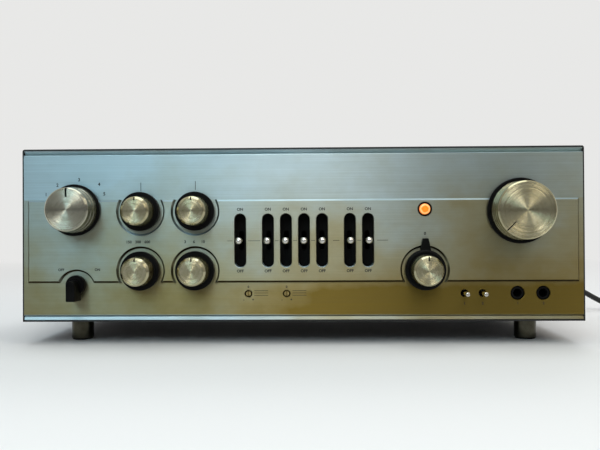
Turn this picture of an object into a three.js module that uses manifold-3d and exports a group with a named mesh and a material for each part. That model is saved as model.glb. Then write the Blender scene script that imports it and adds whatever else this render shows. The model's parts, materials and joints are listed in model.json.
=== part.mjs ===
// A hi-fi preamplifier with a machined front panel, nine turning controls, seven lever
// switches and its mains cord, as separate pieces. Millimetres, +Z up, the front faces -Y.
// The origin lies on the surface under the feet, below the middle of the case.
import * as THREE from 'three';
import { mergeVertices } from 'three/addons/utils/BufferGeometryUtils.js';
import Module from 'manifold-3d';

const wasm = await Module();
wasm.setup();

// Driving dimensions of the case
const caseWidth = 485;
const caseHeight = 150;
const bodyDepth = 205; // front face of the panel to the outside of the rear panel
const sheet = 1.2; // steel sheet of the cover, chassis, bottom and rear
const fit = 0.3; // gap between two pieces
const overrun = 2; // how far a cutting tool runs past a face

// Front panel, depths counted back from its main face
const panelBack = 8;
const rimHeight = 3.6;
const rimFront = 0.8;
const rimValley = 3.4;
const faceChamfer = 1.2;
const raisedLift = 2.2;
const raisedBevel = 1.5;
const raisedEnd = 4; // main face left at each end of the raised field
const raisedBottom = 34; // above the underside of the case
const raisedHeight = 71.3;
const notchRadius = 19.6;
const pointerNotchRadius = 15.5;
const pointerNotchDrop = 3.6;

// Rows of the controls, above the underside of the case
const upperRowHeight = 95.4;
const lowerRowHeight = 44.2;
const volumeRowHeight = 94.4;
const selectorRowHeight = 96.8;
const pointerRowHeight = 32.2;
const lampRowHeight = 96.2;
const baseRowHeight = 24; // trimmers, push buttons and phone jacks

// Columns across the case, as shares of half its width from the middle
const columnShares = {
  volume: 0.7695,
  selector: -0.8058,
  bass: -0.5715,
  treble: -0.3761,
  pointer: -0.8016,
  balance: 0.4371,
  leftButton: 0.5765,
  rightButton: 0.64,
  leftTrimmer: -0.188,
  rightTrimmer: -0.052,
  leftJack: 0.7633,
  rightJack: 0.8532,
  firstLever: -0.2157,
  leverPitch: 0.0639,
  leverGroupStep: 0.0986,
  foot: 0.8412,
  spacer: 0.932,
  boardLeft: -0.8454,
  boardRight: 0.3794,
  transformer: 0.6598,
  screenLeft: -0.8742,
  screenRight: -0.4866,
  phonoSockets: -0.734,
  lineSockets: -0.2557,
  outlets: 0.3794,
  fuse: 0.6186,
  terminal: -0.932,
  gland: 0.8247,
  vents: 0.4948,
};

// Large metal knobs; lift is the gap to the main face and bands the turned grooves
const volume = { ring: 28, ringHeight: 2.2, cap: 25.2, face: 24.3, height: 20.5, lift: 3, bands: 3 };
const selector = { ring: 22.3, ringHeight: 2.2, cap: 20, face: 18.5, height: 20, lift: 3, bands: 2 };
const knobChamfer = 1.1;
const knobGroove = 0.5; // turned grooves round a knob's side
const knobGrooveWidth = 1;
const volumeIndex = { width: 0.9, inner: 13.5, depth: 0.6, angle: 225 }; // clockwise from the top
const selectorIndex = { width: 1.6, inner: 10.5, depth: 0.7, angle: 0 };

// The four small knobs, metal caps on black skirts
const small = { ring: 16.8, ringHeight: 5.5, cap: 12.7, face: 12, height: 21, lift: 0.8, bands: 0 };
const smallIndex = { width: 1.1, inner: 8.6, depth: 0.5, angle: 0 };

// Balance ring with its pointer, and the knob inside it
const ring = { radius: 17.3, height: 6.5, lift: 0.8, bevel: 1.2 };
const tab = { reach: 27, tipWidth: 5, rootWidth: 9.4, thickness: 3.4 };
const attenuatorGap = 0.6;
const attenuator = {
  ring: 13.6,
  ringHeight: 1.2,
  cap: 13.2,
  face: 12.5,
  height: 14.5,
  bands: 0,
  lift: ring.lift + ring.height + attenuatorGap,
};

// The bar knob under the selector
const bar = { skirt: 8.4, skirtHeight: 5, width: 8.8, up: 4.6, down: 13.6, height: 16, lift: 0.8 };
const barBevel = 0.7;

// Shafts and the controls behind the panel
const shaftRadius = 3;
const ringShaftRadius = 4.4;
const panelHoleSlack = 1.6;
const webDepth = 34; // from the panel's face to the chassis web
const webBottom = 2;
const webTop = 139; // above the underside of the case
const noseWall = 1.7;
const noseReach = 6;
const shaftDepth = 14; // how far a shaft runs behind the web
const ringShaftDepth = 6;
const boreSpare = 1.5;
const potDeep = 26;
const switchDeep = 44;
const potRadius = 13;
const switchRadius = 17;
const volumePotRadius = 19;
const smallPotRadius = 11;
const waferCount = 2;
const waferCoreShare = 0.55;

// Lever switches
const slotWidth = 9.9;
const slotHeight = 46;
const leverRowHeight = 69.9;
const leverGroups = [1, 4, 2];
const leverSwing = 22; // degrees each way, also in the record
const pivotDepth = 24;
const ballRadius = 3;
const ballReach = 12.8; // ball's middle in front of the main face
const shankRoot = 1.6;
const shankTip = 1.1;
const hubRadius = 4;
const hubWidth = 6;
const pinRadius = 1.5;
const maskThickness = 1;
const maskMargin = 5;
const bankWall = 3;
const bankMargin = 5;

// Push buttons, trimmers, jacks and pilot lamp
const buttonRadius = 1.9;
const buttonReach = 13;
const buttonHole = 3.2;
const buttonDeep = 26;
const buttonTravel = 3;
const buttonBevel = 0.6;
const trimmerRadius = 2.2;
const trimmerHole = 3.2;
const trimmerSet = 0.4; // the screw lies this far inside the face
const trimmerSlot = { width: 0.9, depth: 1.3 };
const trimmerDeep = 24;
const blockDepth = 14;
const blockWall = 6;
const jackHole = 5.9;
const jackBore = 3.3;
const jackSet = 1;
const jackBody = { width: 17, height: 18, boreDeep: 31 };
const lampRadius = 6;
const lensRadius = 4.6;
const lampProud = 0.5;
const lensDome = 1.3;
const lensDeep = 16;

// Feet
const footHeight = 21;
const footRadius = 9.8;
const footPad = 1.4;
const padInset = 0.8;
const footInset = 40;

// Inside of the case
const wallHeight = 62;
const spacerRadius = 4;
const spacerRowHeights = [18, 126];
const board = { rearGap: 51.8, deep: 66, rise: 10, thickness: 1.6 }; // rearGap: to the rear panel
const boardFootRadius = 3;
const boardFootInset = 8;
const canRadius = 9;
const canHeight = 32;
const canCount = 4;
const canPitch = 26;
const filmBox = { width: 18, depth: 9, height: 15 };
const filmCount = 6;
const filmPitch = 34;
const transistor = { radius: 4.5, height: 8, sides: 8 };
const transformer = { rearGap: 26.8, width: 66, deep: 56, height: 58, coil: 42, bulge: 9 };
const flange = { reach: 10, thickness: 2 };
const screen = { rearGap: 13.8, deep: 32, height: 46, wall: 1 };

// Rear panel fittings
const socketRadius = 4.2;
const socketReach = 9;
const socketBore = 1.7;
const socketPitch = 17;
const socketPlate = { thickness: 2, margin: 11, deep: 10, inset: 4 };
const phonoColumns = 3;
const lineColumns = 7;
const socketRowHeight = 74;
const outlet = { rowHeight: 74, width: 66, height: 40, thickness: 3, deep: 16, inset: 4 };
const outletSlot = { width: 2, height: 8, gap: 12.7, pitch: 30, deep: 12 };
const fuse = { rowHeight: 74, cap: 7, neck: 6, reach: 12, deep: 24 };
const terminal = { rowHeight: 74, cap: 5, neck: 2.5, reach: 11, deep: 10, seat: 3 };

// Vents in the top of the cover
const ventLength = 62;
const ventWidth = 3;
const ventPitch = 11;
const ventCount = 7;
const ventRearGap = 80;

// Mains cord, its gland and plug
const cordRadius = 3.15;
const glandRowHeight = 57;
const gland = { hole: 6, rim: 9, rimWidth: 3, root: 5.4, tip: 4.1, reach: 30, deep: 6 };
const coilTurns = 3; // in each layer
const coilInner = 26.3;
const turnPitch = 6.9;
const layerPitch = 6.8;
const floorGap = 0.05;
const coilX = 414;
const coilDepth = 194.4;
const plug = { boot: 33, bootTip: 3.6, bootRadius: 6, length: 26, width: 25, bladeLength: 16.5 };
const blade = { thickness: 1.5, width: 6.3, gap: 12.7 };
const plugCorner = 5;

// The cord's points between the gland and the coil, x from the middle, depth behind the
// rear panel and height over the surface
const cordRoute = [
  [200.6, 46, 77.6],
  [204, 54.5, 76.6],
  [211, 60.5, 75],
  [221, 63.5, 72.8],
  [233, 64, 70],
  [247, 62, 66.2],
  [262, 58.5, 61.5],
  [278, 54, 55.6],
  [293, 49.5, 49],
  [308, 45.5, 41.4],
  [322, 42, 33.6],
  [335, 39.4, 26],
  [346, 38, 19.6],
  [356, 37.2, 13.8],
  [366, 37, 8.9],
  [376, 37.4, 5.4],
  [387, 38.4, 3.6],
];

// Numbers of facets
const knobSides = 32;
const smallSides = 24;
const rodSides = 12;
const potSides = 12;
const ballSides = 10;
const notchSides = 32;
const slotSteps = 5;
const ventSteps = 2;
const shankSides = 8;
const boreSides = 6;
const lensSteps = 4;
const plugSteps = 4;
const cordSides = 8;
const cordSteps = 48;
const coilSides = 6;
const coilSteps = 24; // in each turn
const gapSamples = 1300;

// Planes that follow from the sizes above
const faceY = (volume.lift + volume.height - bodyDepth - fuse.reach) / 2;
const rearY = faceY + bodyDepth;
const rearInside = rearY - sheet;
const under = footHeight;
const top = footHeight + caseHeight;
const webY = faceY + webDepth;
const webBackY = webY + sheet;
const coverInside = caseWidth / 2 - sheet;
const plateHalf = coverInside - fit;
const plateBottom = under + sheet + fit;
const plateTop = top - sheet - fit;
const chassisHalf = coverInside - fit;

// Columns across the case
const column = Object.fromEntries(
  Object.entries(columnShares).map(([name, share]) => [name, share * caseWidth / 2]),
);
const volumeX = column.volume;
const bassX = column.bass;
const trebleX = column.treble;
const pointerX = column.pointer;
const balanceX = column.balance;
const glandX = column.gland;
const buttonXs = [column.leftButton, column.rightButton];
const trimmerXs = [column.leftTrimmer, column.rightTrimmer];
const jackXs = [column.leftJack, column.rightJack];
const leverXs = leverPlaces();

// The rotary controls behind the web; shaft is the outer radius of the shaft that goes in
const controls = [
  { name: 'volume_control', x: volumeX, row: volumeRowHeight, radius: volumePotRadius, deep: potDeep },
  { name: 'selector_switch', x: column.selector, row: selectorRowHeight, deep: switchDeep, wafers: true },
  { name: 'bass_switch', x: bassX, row: upperRowHeight, deep: switchDeep, wafers: true },
  { name: 'treble_switch', x: trebleX, row: upperRowHeight, deep: switchDeep, wafers: true },
  { name: 'bass_turnover_switch', x: bassX, row: lowerRowHeight, radius: potRadius, deep: potDeep },
  { name: 'treble_turnover_switch', x: trebleX, row: lowerRowHeight, radius: potRadius, deep: potDeep },
  { name: 'equaliser_switch', x: pointerX, row: pointerRowHeight, radius: smallPotRadius, deep: potDeep },
  { name: 'balance_control', x: balanceX, row: lowerRowHeight, deep: switchDeep, shaft: ringShaftRadius },
].map((control) => ({ radius: switchRadius, shaft: shaftRadius, ...control }));

const finishes = {
  panel: { color: 0xb4ac95, metalness: 0.9, roughness: 0.42 },
  spun: { color: 0xc9c4b2, metalness: 1, roughness: 0.28 },
  black: { color: 0x151515, metalness: 0.1, roughness: 0.45 },
  steel: { color: 0x8d8f90, metalness: 0.8, roughness: 0.5 },
  cover: { color: 0x1c1c1d, metalness: 0.3, roughness: 0.6 },
  chrome: { color: 0xdededc, metalness: 1, roughness: 0.12 },
  amber: { color: 0xff8a1c, metalness: 0, roughness: 0.25 },
  board: { color: 0x8a6a2c, metalness: 0, roughness: 0.6 },
  rubber: { color: 0x141414, metalness: 0, roughness: 0.8 },
  nickel: { color: 0xb9b9b4, metalness: 0.9, roughness: 0.35 },
};

// Where the levers stand: groups of equal pitch with a wider step between them
function leverPlaces() {
  const places = [];
  let x = column.firstLever;
  for (const count of leverGroups) {
    for (let i = 0; i < count; i += 1) {
      places.push(x + i * column.leverPitch);
    }
    x = places[places.length - 1] + column.leverGroupStep;
  }
  return places;
}

// Turns a geometry into a solid: shared corners merged, faces pointing out
function solidOf(geometry) {
  const bare = geometry.clone();
  bare.deleteAttribute('normal');
  bare.deleteAttribute('uv');
  const merged = mergeVertices(bare);
  const place = merged.attributes.position;
  const corners = [];
  let volumeSix = 0;
  const a = new THREE.Vector3();
  const b = new THREE.Vector3();
  const c = new THREE.Vector3();
  for (let i = 0; i < merged.index.count; i += 3) {
    const [p, q, r] = [0, 1, 2].map((k) => merged.index.getX(i + k));
    if (p !== q && q !== r && r !== p) {
      a.fromBufferAttribute(place, p);
      b.fromBufferAttribute(place, q);
      c.fromBufferAttribute(place, r);
      volumeSix += a.dot(b.cross(c));
      corners.push(p, q, r);
    }
  }
  if (volumeSix < 0) {
    corners.reverse();
  }
  return new wasm.Manifold(new wasm.Mesh({
    numProp: 3,
    vertProperties: new Float32Array(place.array),
    triVerts: new Uint32Array(corners),
  }));
}

function joined(solids) {
  return solids.reduce((whole, next) => whole.add(next));
}

function cut(solid, tools) {
  return tools.reduce((rest, tool) => rest.subtract(tool), solid);
}

function block(x0, x1, y0, y1, z0, z1) {
  const geometry = new THREE.BoxGeometry(x1 - x0, y1 - y0, z1 - z0);
  return solidOf(geometry.translate((x0 + x1) / 2, (y0 + y1) / 2, (z0 + z1) / 2));
}

function rodY(radius, y0, y1, x, z, sides = rodSides) {
  const geometry = new THREE.CylinderGeometry(radius, radius, y1 - y0, sides);
  return solidOf(geometry.translate(x, (y0 + y1) / 2, z));
}

function rodX(radius, x0, x1, y, z, sides = rodSides) {
  const geometry = new THREE.CylinderGeometry(radius, radius, x1 - x0, sides);
  return solidOf(geometry.rotateZ(Math.PI / 2).translate((x0 + x1) / 2, y, z));
}

function rodZ(radius, z0, z1, x, y, sides = rodSides) {
  const geometry = new THREE.CylinderGeometry(radius, radius, z1 - z0, sides);
  return solidOf(geometry.rotateX(Math.PI / 2).translate(x, y, (z0 + z1) / 2));
}

// A turned piece about an axis along Y, its profile as [radius, y]
function turnedY(profile, x, z, sides) {
  const points = profile.map(([radius, y]) => new THREE.Vector2(radius, y));
  return solidOf(new THREE.LatheGeometry(points, sides).translate(x, 0, z));
}

// A turned piece about an upright axis, its profile as [radius, z]
function turnedZ(profile, x, y, sides) {
  const points = profile.map(([radius, z]) => new THREE.Vector2(radius, z));
  return solidOf(new THREE.LatheGeometry(points, sides).rotateX(Math.PI / 2).translate(x, y, 0));
}

// An outline in X and Z, extruded from y1 forward to y0
function slabY(shape, y0, y1, options = {}) {
  const geometry = new THREE.ExtrudeGeometry(shape, {
    depth: y1 - y0,
    bevelEnabled: false,
    curveSegments: slotSteps,
    ...options,
  });
  return solidOf(geometry.rotateX(Math.PI / 2).translate(0, y1, 0));
}

// An outline in X and Y, extruded upward from z0 to z1
function slabZ(shape, z0, z1, curveSegments = slotSteps) {
  const geometry = new THREE.ExtrudeGeometry(shape, {
    depth: z1 - z0,
    bevelEnabled: false,
    curveSegments,
  });
  return solidOf(geometry.translate(0, 0, z0));
}

// A slot with round ends, tall or wide, about a middle
function roundSlot(x, y, width, height) {
  const radius = Math.min(width, height) / 2;
  const shape = new THREE.Shape();
  if (height > width) {
    const run = height / 2 - radius;
    shape.absarc(x, y + run, radius, 0, Math.PI, false);
    shape.absarc(x, y - run, radius, Math.PI, 2 * Math.PI, false);
  } else {
    const run = width / 2 - radius;
    shape.absarc(x + run, y, radius, -Math.PI / 2, Math.PI / 2, false);
    shape.absarc(x - run, y, radius, Math.PI / 2, 1.5 * Math.PI, false);
  }
  return shape;
}

const group = new THREE.Group();

function addPiece(name, solid, finish) {
  const mesh = solid.getMesh();
  const geometry = new THREE.BufferGeometry();
  geometry.setAttribute('position', new THREE.BufferAttribute(mesh.vertProperties, 3));
  geometry.setIndex(new THREE.BufferAttribute(mesh.triVerts, 1));
  geometry.computeVertexNormals();
  const piece = new THREE.Mesh(geometry, new THREE.MeshStandardMaterial(finishes[finish]));
  piece.name = name;
  group.add(piece);
}

// Front panel

// A cutter for a round notch in the raised field, as wide at the front as its bevel asks
function notchCut(x, z, radius) {
  const back = faceY + raisedBevel + overrun;
  const front = faceY - raisedLift - overrun;
  return turnedY([
    [0, back],
    [radius, back],
    [radius, faceY - raisedLift + raisedBevel],
    [radius + raisedBevel + overrun, front],
    [0, front],
  ], x, z, notchSides);
}

// A long bevelled field with a round notch for each control that stands at its edge
function raisedField() {
  const half = plateHalf - raisedEnd;
  const low = under + raisedBottom;
  const high = low + raisedHeight;
  const outline = [[-half, low], [half, low], [half, high], [-half, high]];
  const shape = new THREE.Shape(outline.map(([x, z]) => new THREE.Vector2(x, z)));
  const field = slabY(shape, faceY - raisedLift + raisedBevel, faceY + raisedBevel, {
    bevelEnabled: true,
    bevelThickness: raisedBevel,
    bevelSize: raisedBevel,
    bevelOffset: -raisedBevel,
    bevelSegments: 1,
  });
  const notches = [
    [bassX, upperRowHeight],
    [trebleX, upperRowHeight],
    [bassX, lowerRowHeight],
    [trebleX, lowerRowHeight],
    [balanceX, lowerRowHeight],
  ].map(([x, row]) => notchCut(x, under + row, notchRadius));
  const pointerNotch = notchCut(pointerX, under + pointerRowHeight - pointerNotchDrop, pointerNotchRadius);
  return cut(field, [...notches, pointerNotch]);
}

// The plate with its sloped rims above and below, its outline in Y and Z drawn along X
function panelPlate() {
  const low = plateBottom + rimHeight;
  const high = plateTop - rimHeight;
  const outline = [
    [panelBack, plateBottom],
    [rimFront, plateBottom],
    [rimValley, low],
    [faceChamfer, low],
    [0, low + faceChamfer],
    [0, high - faceChamfer],
    [faceChamfer, high],
    [rimValley, high],
    [rimFront, plateTop],
    [panelBack, plateTop],
  ];
  const side = new THREE.Shape(outline.map(([y, z]) => new THREE.Vector2(faceY + y, z)));
  const plate = new THREE.ExtrudeGeometry(side, { depth: 2 * plateHalf, bevelEnabled: false });
  const axes = [new THREE.Vector3(0, 1, 0), new THREE.Vector3(0, 0, 1), new THREE.Vector3(1, 0, 0)];
  plate.applyMatrix4(new THREE.Matrix4().makeBasis(...axes));
  return solidOf(plate.translate(-plateHalf, 0, 0));
}

function frontPanel() {
  const hole = (radius, x, row, sides) => {
    const front = faceY - raisedLift - overrun;
    return rodY(radius, front, faceY + panelBack + overrun, x, under + row, sides);
  };
  const tools = controls.map((c) => hole(c.shaft + panelHoleSlack, c.x, c.row, potSides));
  for (const x of leverXs) {
    const slot = roundSlot(x, under + leverRowHeight, slotWidth, slotHeight);
    tools.push(slabY(slot, faceY - raisedLift - overrun, faceY + panelBack + overrun));
  }
  buttonXs.forEach((x) => tools.push(hole(buttonHole, x, baseRowHeight, potSides)));
  trimmerXs.forEach((x) => tools.push(hole(trimmerHole, x, baseRowHeight, potSides)));
  jackXs.forEach((x) => tools.push(hole(jackHole, x, baseRowHeight, smallSides)));
  tools.push(hole(lampRadius + fit, balanceX, lampRowHeight, smallSides));
  return cut(panelPlate().add(raisedField()), tools);
}

// Knobs

// A box that cuts an index mark into a knob's face, turned clockwise from the top
function indexCut(mark, radius, y, x, z) {
  const length = radius + overrun - mark.inner;
  const box = new THREE.BoxGeometry(mark.width, mark.depth + overrun, length);
  box.translate(0, (mark.depth - overrun) / 2, mark.inner + length / 2);
  box.rotateY(THREE.MathUtils.degToRad(mark.angle));
  return solidOf(box.translate(x, y, z));
}

// A metal cap on a black base ring, with a polished chamfer and turned grooves, and its shaft
function metalKnob(size, x, row, mark, sides) {
  const z = under + row;
  const base = faceY - size.lift;
  const front = base - size.height;
  const shoulder = base - size.ringHeight;
  const edge = front + knobChamfer;
  const radiusAt = (y) => size.face + (size.cap - size.face) * (y - edge) / (shoulder - edge);
  const profile = [[0, base], [size.ring, base], [size.ring, shoulder]];
  profile.push([size.cap, shoulder]);
  for (let i = 1; i <= size.bands; i += 1) {
    const y = shoulder + (edge - shoulder) * i / (size.bands + 1);
    const half = knobGrooveWidth / 2;
    profile.push([radiusAt(y + half), y + half]);
    profile.push([radiusAt(y) - knobGroove, y]);
    profile.push([radiusAt(y - half), y - half]);
  }
  profile.push([size.face, edge], [size.face - knobChamfer, front], [0, front]);
  const shaft = rodY(shaftRadius, base - size.ringHeight / 2, webBackY + shaftDepth, x, z);
  const body = turnedY(profile, x, z, sides).add(shaft);
  return cut(body, [indexCut(mark, size.face, front, x, z)]);
}

function balanceRing() {
  const z = under + lowerRowHeight;
  const base = faceY - ring.lift;
  const front = base - ring.height;
  const body = turnedY([
    [0, base],
    [ring.radius, base],
    [ring.radius, front + ring.bevel],
    [ring.radius - ring.bevel, front],
    [0, front],
  ], balanceX, z, knobSides);
  const root = ring.radius - ring.bevel;
  const outline = [
    [-tab.rootWidth / 2, root - tab.rootWidth / 2],
    [tab.rootWidth / 2, root - tab.rootWidth / 2],
    [tab.rootWidth / 2, root],
    [tab.tipWidth / 2, tab.reach],
    [-tab.tipWidth / 2, tab.reach],
    [-tab.rootWidth / 2, root],
  ];
  const shape = new THREE.Shape(outline.map(([x, up]) => new THREE.Vector2(balanceX + x, z + up)));
  const tabBack = faceY - raisedLift - ring.lift;
  const pointer = slabY(shape, tabBack - tab.thickness, tabBack);
  const tube = rodY(ringShaftRadius, base - ring.bevel, webBackY + ringShaftDepth, balanceX, z);
  const bore = rodY(shaftRadius + fit, front - overrun, webBackY + shaftDepth, balanceX, z);
  return cut(joined([body, pointer, tube]), [bore]);
}

function barKnob() {
  const z = under + pointerRowHeight;
  const base = faceY - bar.lift;
  const front = base - bar.height;
  const half = bar.width / 2;
  const skirt = rodY(bar.skirt, base - bar.skirtHeight, base, pointerX, z, smallSides);
  const shape = new THREE.Shape();
  const bend = z + bar.up - half;
  shape.absarc(pointerX, bend, half, 0, Math.PI, false);
  shape.lineTo(pointerX - half, z - bar.down);
  shape.lineTo(pointerX + half, z - bar.down);
  const grip = slabY(shape, front + barBevel, base - barBevel, {
    bevelEnabled: true,
    bevelThickness: barBevel,
    bevelSize: barBevel,
    bevelOffset: -barBevel,
    bevelSegments: 1,
  });
  const shaft = rodY(shaftRadius, base - bar.skirtHeight / 2, webBackY + shaftDepth, pointerX, z);
  return joined([skirt, grip, shaft]);
}

// Controls behind the chassis web

// A can with a nose through the web, bored for its knob's shaft
function potControl({ x, row, radius, deep, shaft }) {
  const z = under + row;
  const back = webBackY + fit;
  const body = rodY(radius, back, back + deep, x, z, potSides);
  return boredControl(body, x, z, shaft, back);
}

// A rotary switch: its index plate and a stack of round wafers on one spacer
function waferControl({ x, row, radius, deep, shaft }) {
  const z = under + row;
  const back = webBackY + fit;
  const step = deep / (2 * waferCount + 1);
  const profile = [[0, back], [radius, back]];
  for (let i = 1; i <= 2 * waferCount + 1; i += 1) {
    const inner = radius * waferCoreShare;
    const now = i % 2 === 1 ? radius : inner;
    const next = i % 2 === 1 ? inner : radius;
    profile.push([now, back + i * step]);
    if (i <= 2 * waferCount) {
      profile.push([next, back + i * step]);
    }
  }
  profile.push([0, back + deep]);
  return boredControl(turnedY(profile, x, z, potSides), x, z, shaft, back);
}

function boredControl(body, x, z, shaft, back) {
  const nose = rodY(shaft + fit + noseWall, webY - noseReach, back + fit, x, z, potSides);
  const front = webY - noseReach - overrun;
  const tools = [rodY(shaftRadius + fit, front, back + shaftDepth + boreSpare, x, z)];
  if (shaft > shaftRadius) {
    tools.push(rodY(shaft + fit, front, back + ringShaftDepth + boreSpare, x, z));
  }
  return cut(body.add(nose), tools);
}

// Lever switches

function leverMask() {
  const front = faceY + panelBack + fit;
  const half = slotHeight / 2 + maskMargin;
  const z = under + leverRowHeight;
  const left = leverXs[0] - slotWidth / 2 - maskMargin;
  const right = leverXs[leverXs.length - 1] + slotWidth / 2 + maskMargin;
  const plate = block(left, right, front, front + maskThickness, z - half, z + half);
  const gap = 2 * (swingHalf(panelBack) + fit);
  const width = 2 * (shankRoot + 2 * fit);
  return cut(plate, leverXs.map((x) => {
    const slot = roundSlot(x, z, width, gap);
    const options = { curveSegments: ventSteps };
    return slabY(slot, front - overrun, front + maskThickness + overrun, options);
  }));
}

// Half the height that a lever's shank sweeps at a depth behind the main face
function swingHalf(depth) {
  const angle = THREE.MathUtils.degToRad(leverSwing);
  return (pivotDepth - depth) * Math.tan(angle) + shankRoot / Math.cos(angle);
}

// One bank of lever switches: a block with a well for each lever and a pin across each well
function leverBank(xs) {
  const z = under + leverRowHeight;
  const pivotY = faceY + pivotDepth;
  const front = faceY + panelBack + maskThickness + 2 * fit;
  const wellHalfWidth = hubWidth / 2 + fit;
  const wellHalf = swingHalf(panelBack) + 2 * fit;
  const half = wellHalf + bankMargin;
  const left = xs[0] - wellHalfWidth - bankWall;
  const right = xs[xs.length - 1] + wellHalfWidth + bankWall;
  const body = block(left, right, front, webY - fit, z - half, z + half);
  const wells = xs.map((x) => block(
    x - wellHalfWidth,
    x + wellHalfWidth,
    front - overrun,
    pivotY + hubRadius + fit,
    z - wellHalf,
    z + wellHalf,
  ));
  const pins = xs.map((x) => {
    const reach = wellHalfWidth + bankWall / 2;
    return rodX(pinRadius, x - reach, x + reach, pivotY, z);
  });
  return joined([cut(body, wells), ...pins]);
}

function lever(x) {
  const z = under + leverRowHeight;
  const pivotY = faceY + pivotDepth;
  const ballY = faceY - ballReach;
  const hub = rodX(hubRadius, x - hubWidth / 2, x + hubWidth / 2, pivotY, z);
  const rootY = pivotY - hubRadius + fit;
  const shank = turnedY([
    [0, rootY],
    [shankRoot, rootY],
    [shankTip, ballY],
    [0, ballY],
  ], x, z, shankSides);
  const ball = new THREE.SphereGeometry(ballRadius, ballSides, ballSides / 2).translate(x, ballY, z);
  const eye = rodX(pinRadius + fit, x - hubWidth, x + hubWidth, pivotY, z);
  return cut(joined([hub, shank, solidOf(ball)]), [eye]);
}

// Push buttons, trimmers, jacks and pilot lamp

function pushButton(x) {
  const tip = faceY - buttonReach;
  return turnedY([
    [0, tip],
    [buttonRadius - buttonBevel, tip],
    [buttonRadius, tip + buttonBevel],
    [buttonRadius, faceY + buttonDeep],
    [0, faceY + buttonDeep],
  ], x, under + baseRowHeight, rodSides);
}

function trimmerScrew(x) {
  const z = under + baseRowHeight;
  const front = faceY + trimmerSet;
  const body = rodY(trimmerRadius, front, faceY + trimmerDeep, x, z);
  const half = trimmerSlot.width / 2;
  const slot = block(
    x - half,
    x + half,
    front - overrun,
    front + trimmerSlot.depth,
    z - 2 * trimmerRadius,
    z + 2 * trimmerRadius,
  );
  return cut(body, [slot]);
}

// A block in front of the web with one blind bore for each shaft
function boredBlock(xs, boreRadius, boreEnd) {
  const z = under + baseRowHeight;
  const half = boreRadius + blockWall;
  const front = faceY + blockDepth;
  const body = block(xs[0] - half, xs[1] + half, front, webY - fit, z - half, z + half);
  return cut(body, xs.map((x) => rodY(boreRadius, front - overrun, faceY + boreEnd, x, z)));
}

function phoneJack(x) {
  const z = under + baseRowHeight;
  const back = faceY + panelBack + fit;
  const sleeve = rodY(jackHole - fit, faceY + jackSet, back + fit, x, z, smallSides);
  const halfWidth = jackBody.width / 2;
  const halfHeight = jackBody.height / 2;
  const body = block(x - halfWidth, x + halfWidth, back, webY - fit, z - halfHeight, z + halfHeight);
  const bore = rodY(jackBore, faceY - overrun, faceY + jackBody.boreDeep, x, z, potSides);
  return cut(body.add(sleeve), [bore]);
}

function lampBezel() {
  const front = faceY - raisedLift - lampProud;
  const z = under + lampRowHeight;
  const tube = rodY(lampRadius, front, webY - fit, balanceX, z, smallSides);
  const well = rodY(lensRadius + fit, front - overrun, faceY + lensDeep + boreSpare, balanceX, z, potSides);
  return cut(tube, [well]);
}

function lampLens() {
  const front = faceY - raisedLift - lampProud;
  const profile = [[0, faceY + lensDeep], [lensRadius, faceY + lensDeep], [lensRadius, front]];
  for (let i = 1; i <= lensSteps; i += 1) {
    const angle = Math.PI / 2 * i / lensSteps;
    profile.push([i < lensSteps ? lensRadius * Math.cos(angle) : 0, front - lensDome * Math.sin(angle)]);
  }
  return turnedY(profile, balanceX, under + lampRowHeight, potSides);
}

// Case, chassis and feet

function caseCover() {
  const front = faceY + rimFront;
  const shell = block(-caseWidth / 2, caseWidth / 2, front, rearY, under, top);
  const inside = block(
    -coverInside,
    coverInside,
    front - overrun,
    rearY + overrun,
    under - overrun,
    top - sheet,
  );
  const vents = [];
  for (const side of [-1, 1]) {
    for (let i = 0; i < ventCount; i += 1) {
      const x = side * column.vents + (i - (ventCount - 1) / 2) * ventPitch;
      const slot = roundSlot(x, rearY - ventRearGap, ventWidth, ventLength);
      vents.push(slabZ(slot, top - sheet - overrun, top + overrun, ventSteps));
    }
  }
  return cut(shell, [inside, ...vents]);
}

// The board's edges from above
function boardPlace() {
  const back = rearInside - board.rearGap;
  return { left: column.boardLeft, right: column.boardRight, front: back - board.deep, back };
}

function bottomPlate() {
  const plate = block(-plateHalf, plateHalf, faceY + rimFront, rearY, under, under + sheet);
  const studs = [];
  const { left, right, front, back } = boardPlace();
  for (const x of [left + boardFootInset, right - boardFootInset]) {
    for (const y of [front + boardFootInset, back - boardFootInset]) {
      studs.push(rodZ(boardFootRadius, under + sheet / 2, under + sheet + board.rise - fit, x, y));
    }
  }
  return joined([plate, ...studs]);
}

function rearPanel() {
  const low = under + sheet + fit;
  const plate = block(-plateHalf, plateHalf, rearInside, rearY, low, plateTop);
  const through = (radius, x, row) => {
    return rodY(radius, rearInside - overrun, rearY + overrun, x, under + row, potSides);
  };
  const window = (place) => block(
    place.left - fit,
    place.right + fit,
    rearInside - overrun,
    rearY + overrun,
    place.low - fit,
    place.high + fit,
  );
  return cut(plate, [
    window(socketInsert(column.phonoSockets, phonoColumns)),
    window(socketInsert(column.lineSockets, lineColumns)),
    window(outletInsert()),
    through(fuse.neck + fit, column.fuse, fuse.rowHeight),
    through(terminal.seat + fit, column.terminal, terminal.rowHeight),
    through(gland.hole + fit, glandX, glandRowHeight),
  ]);
}

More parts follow.
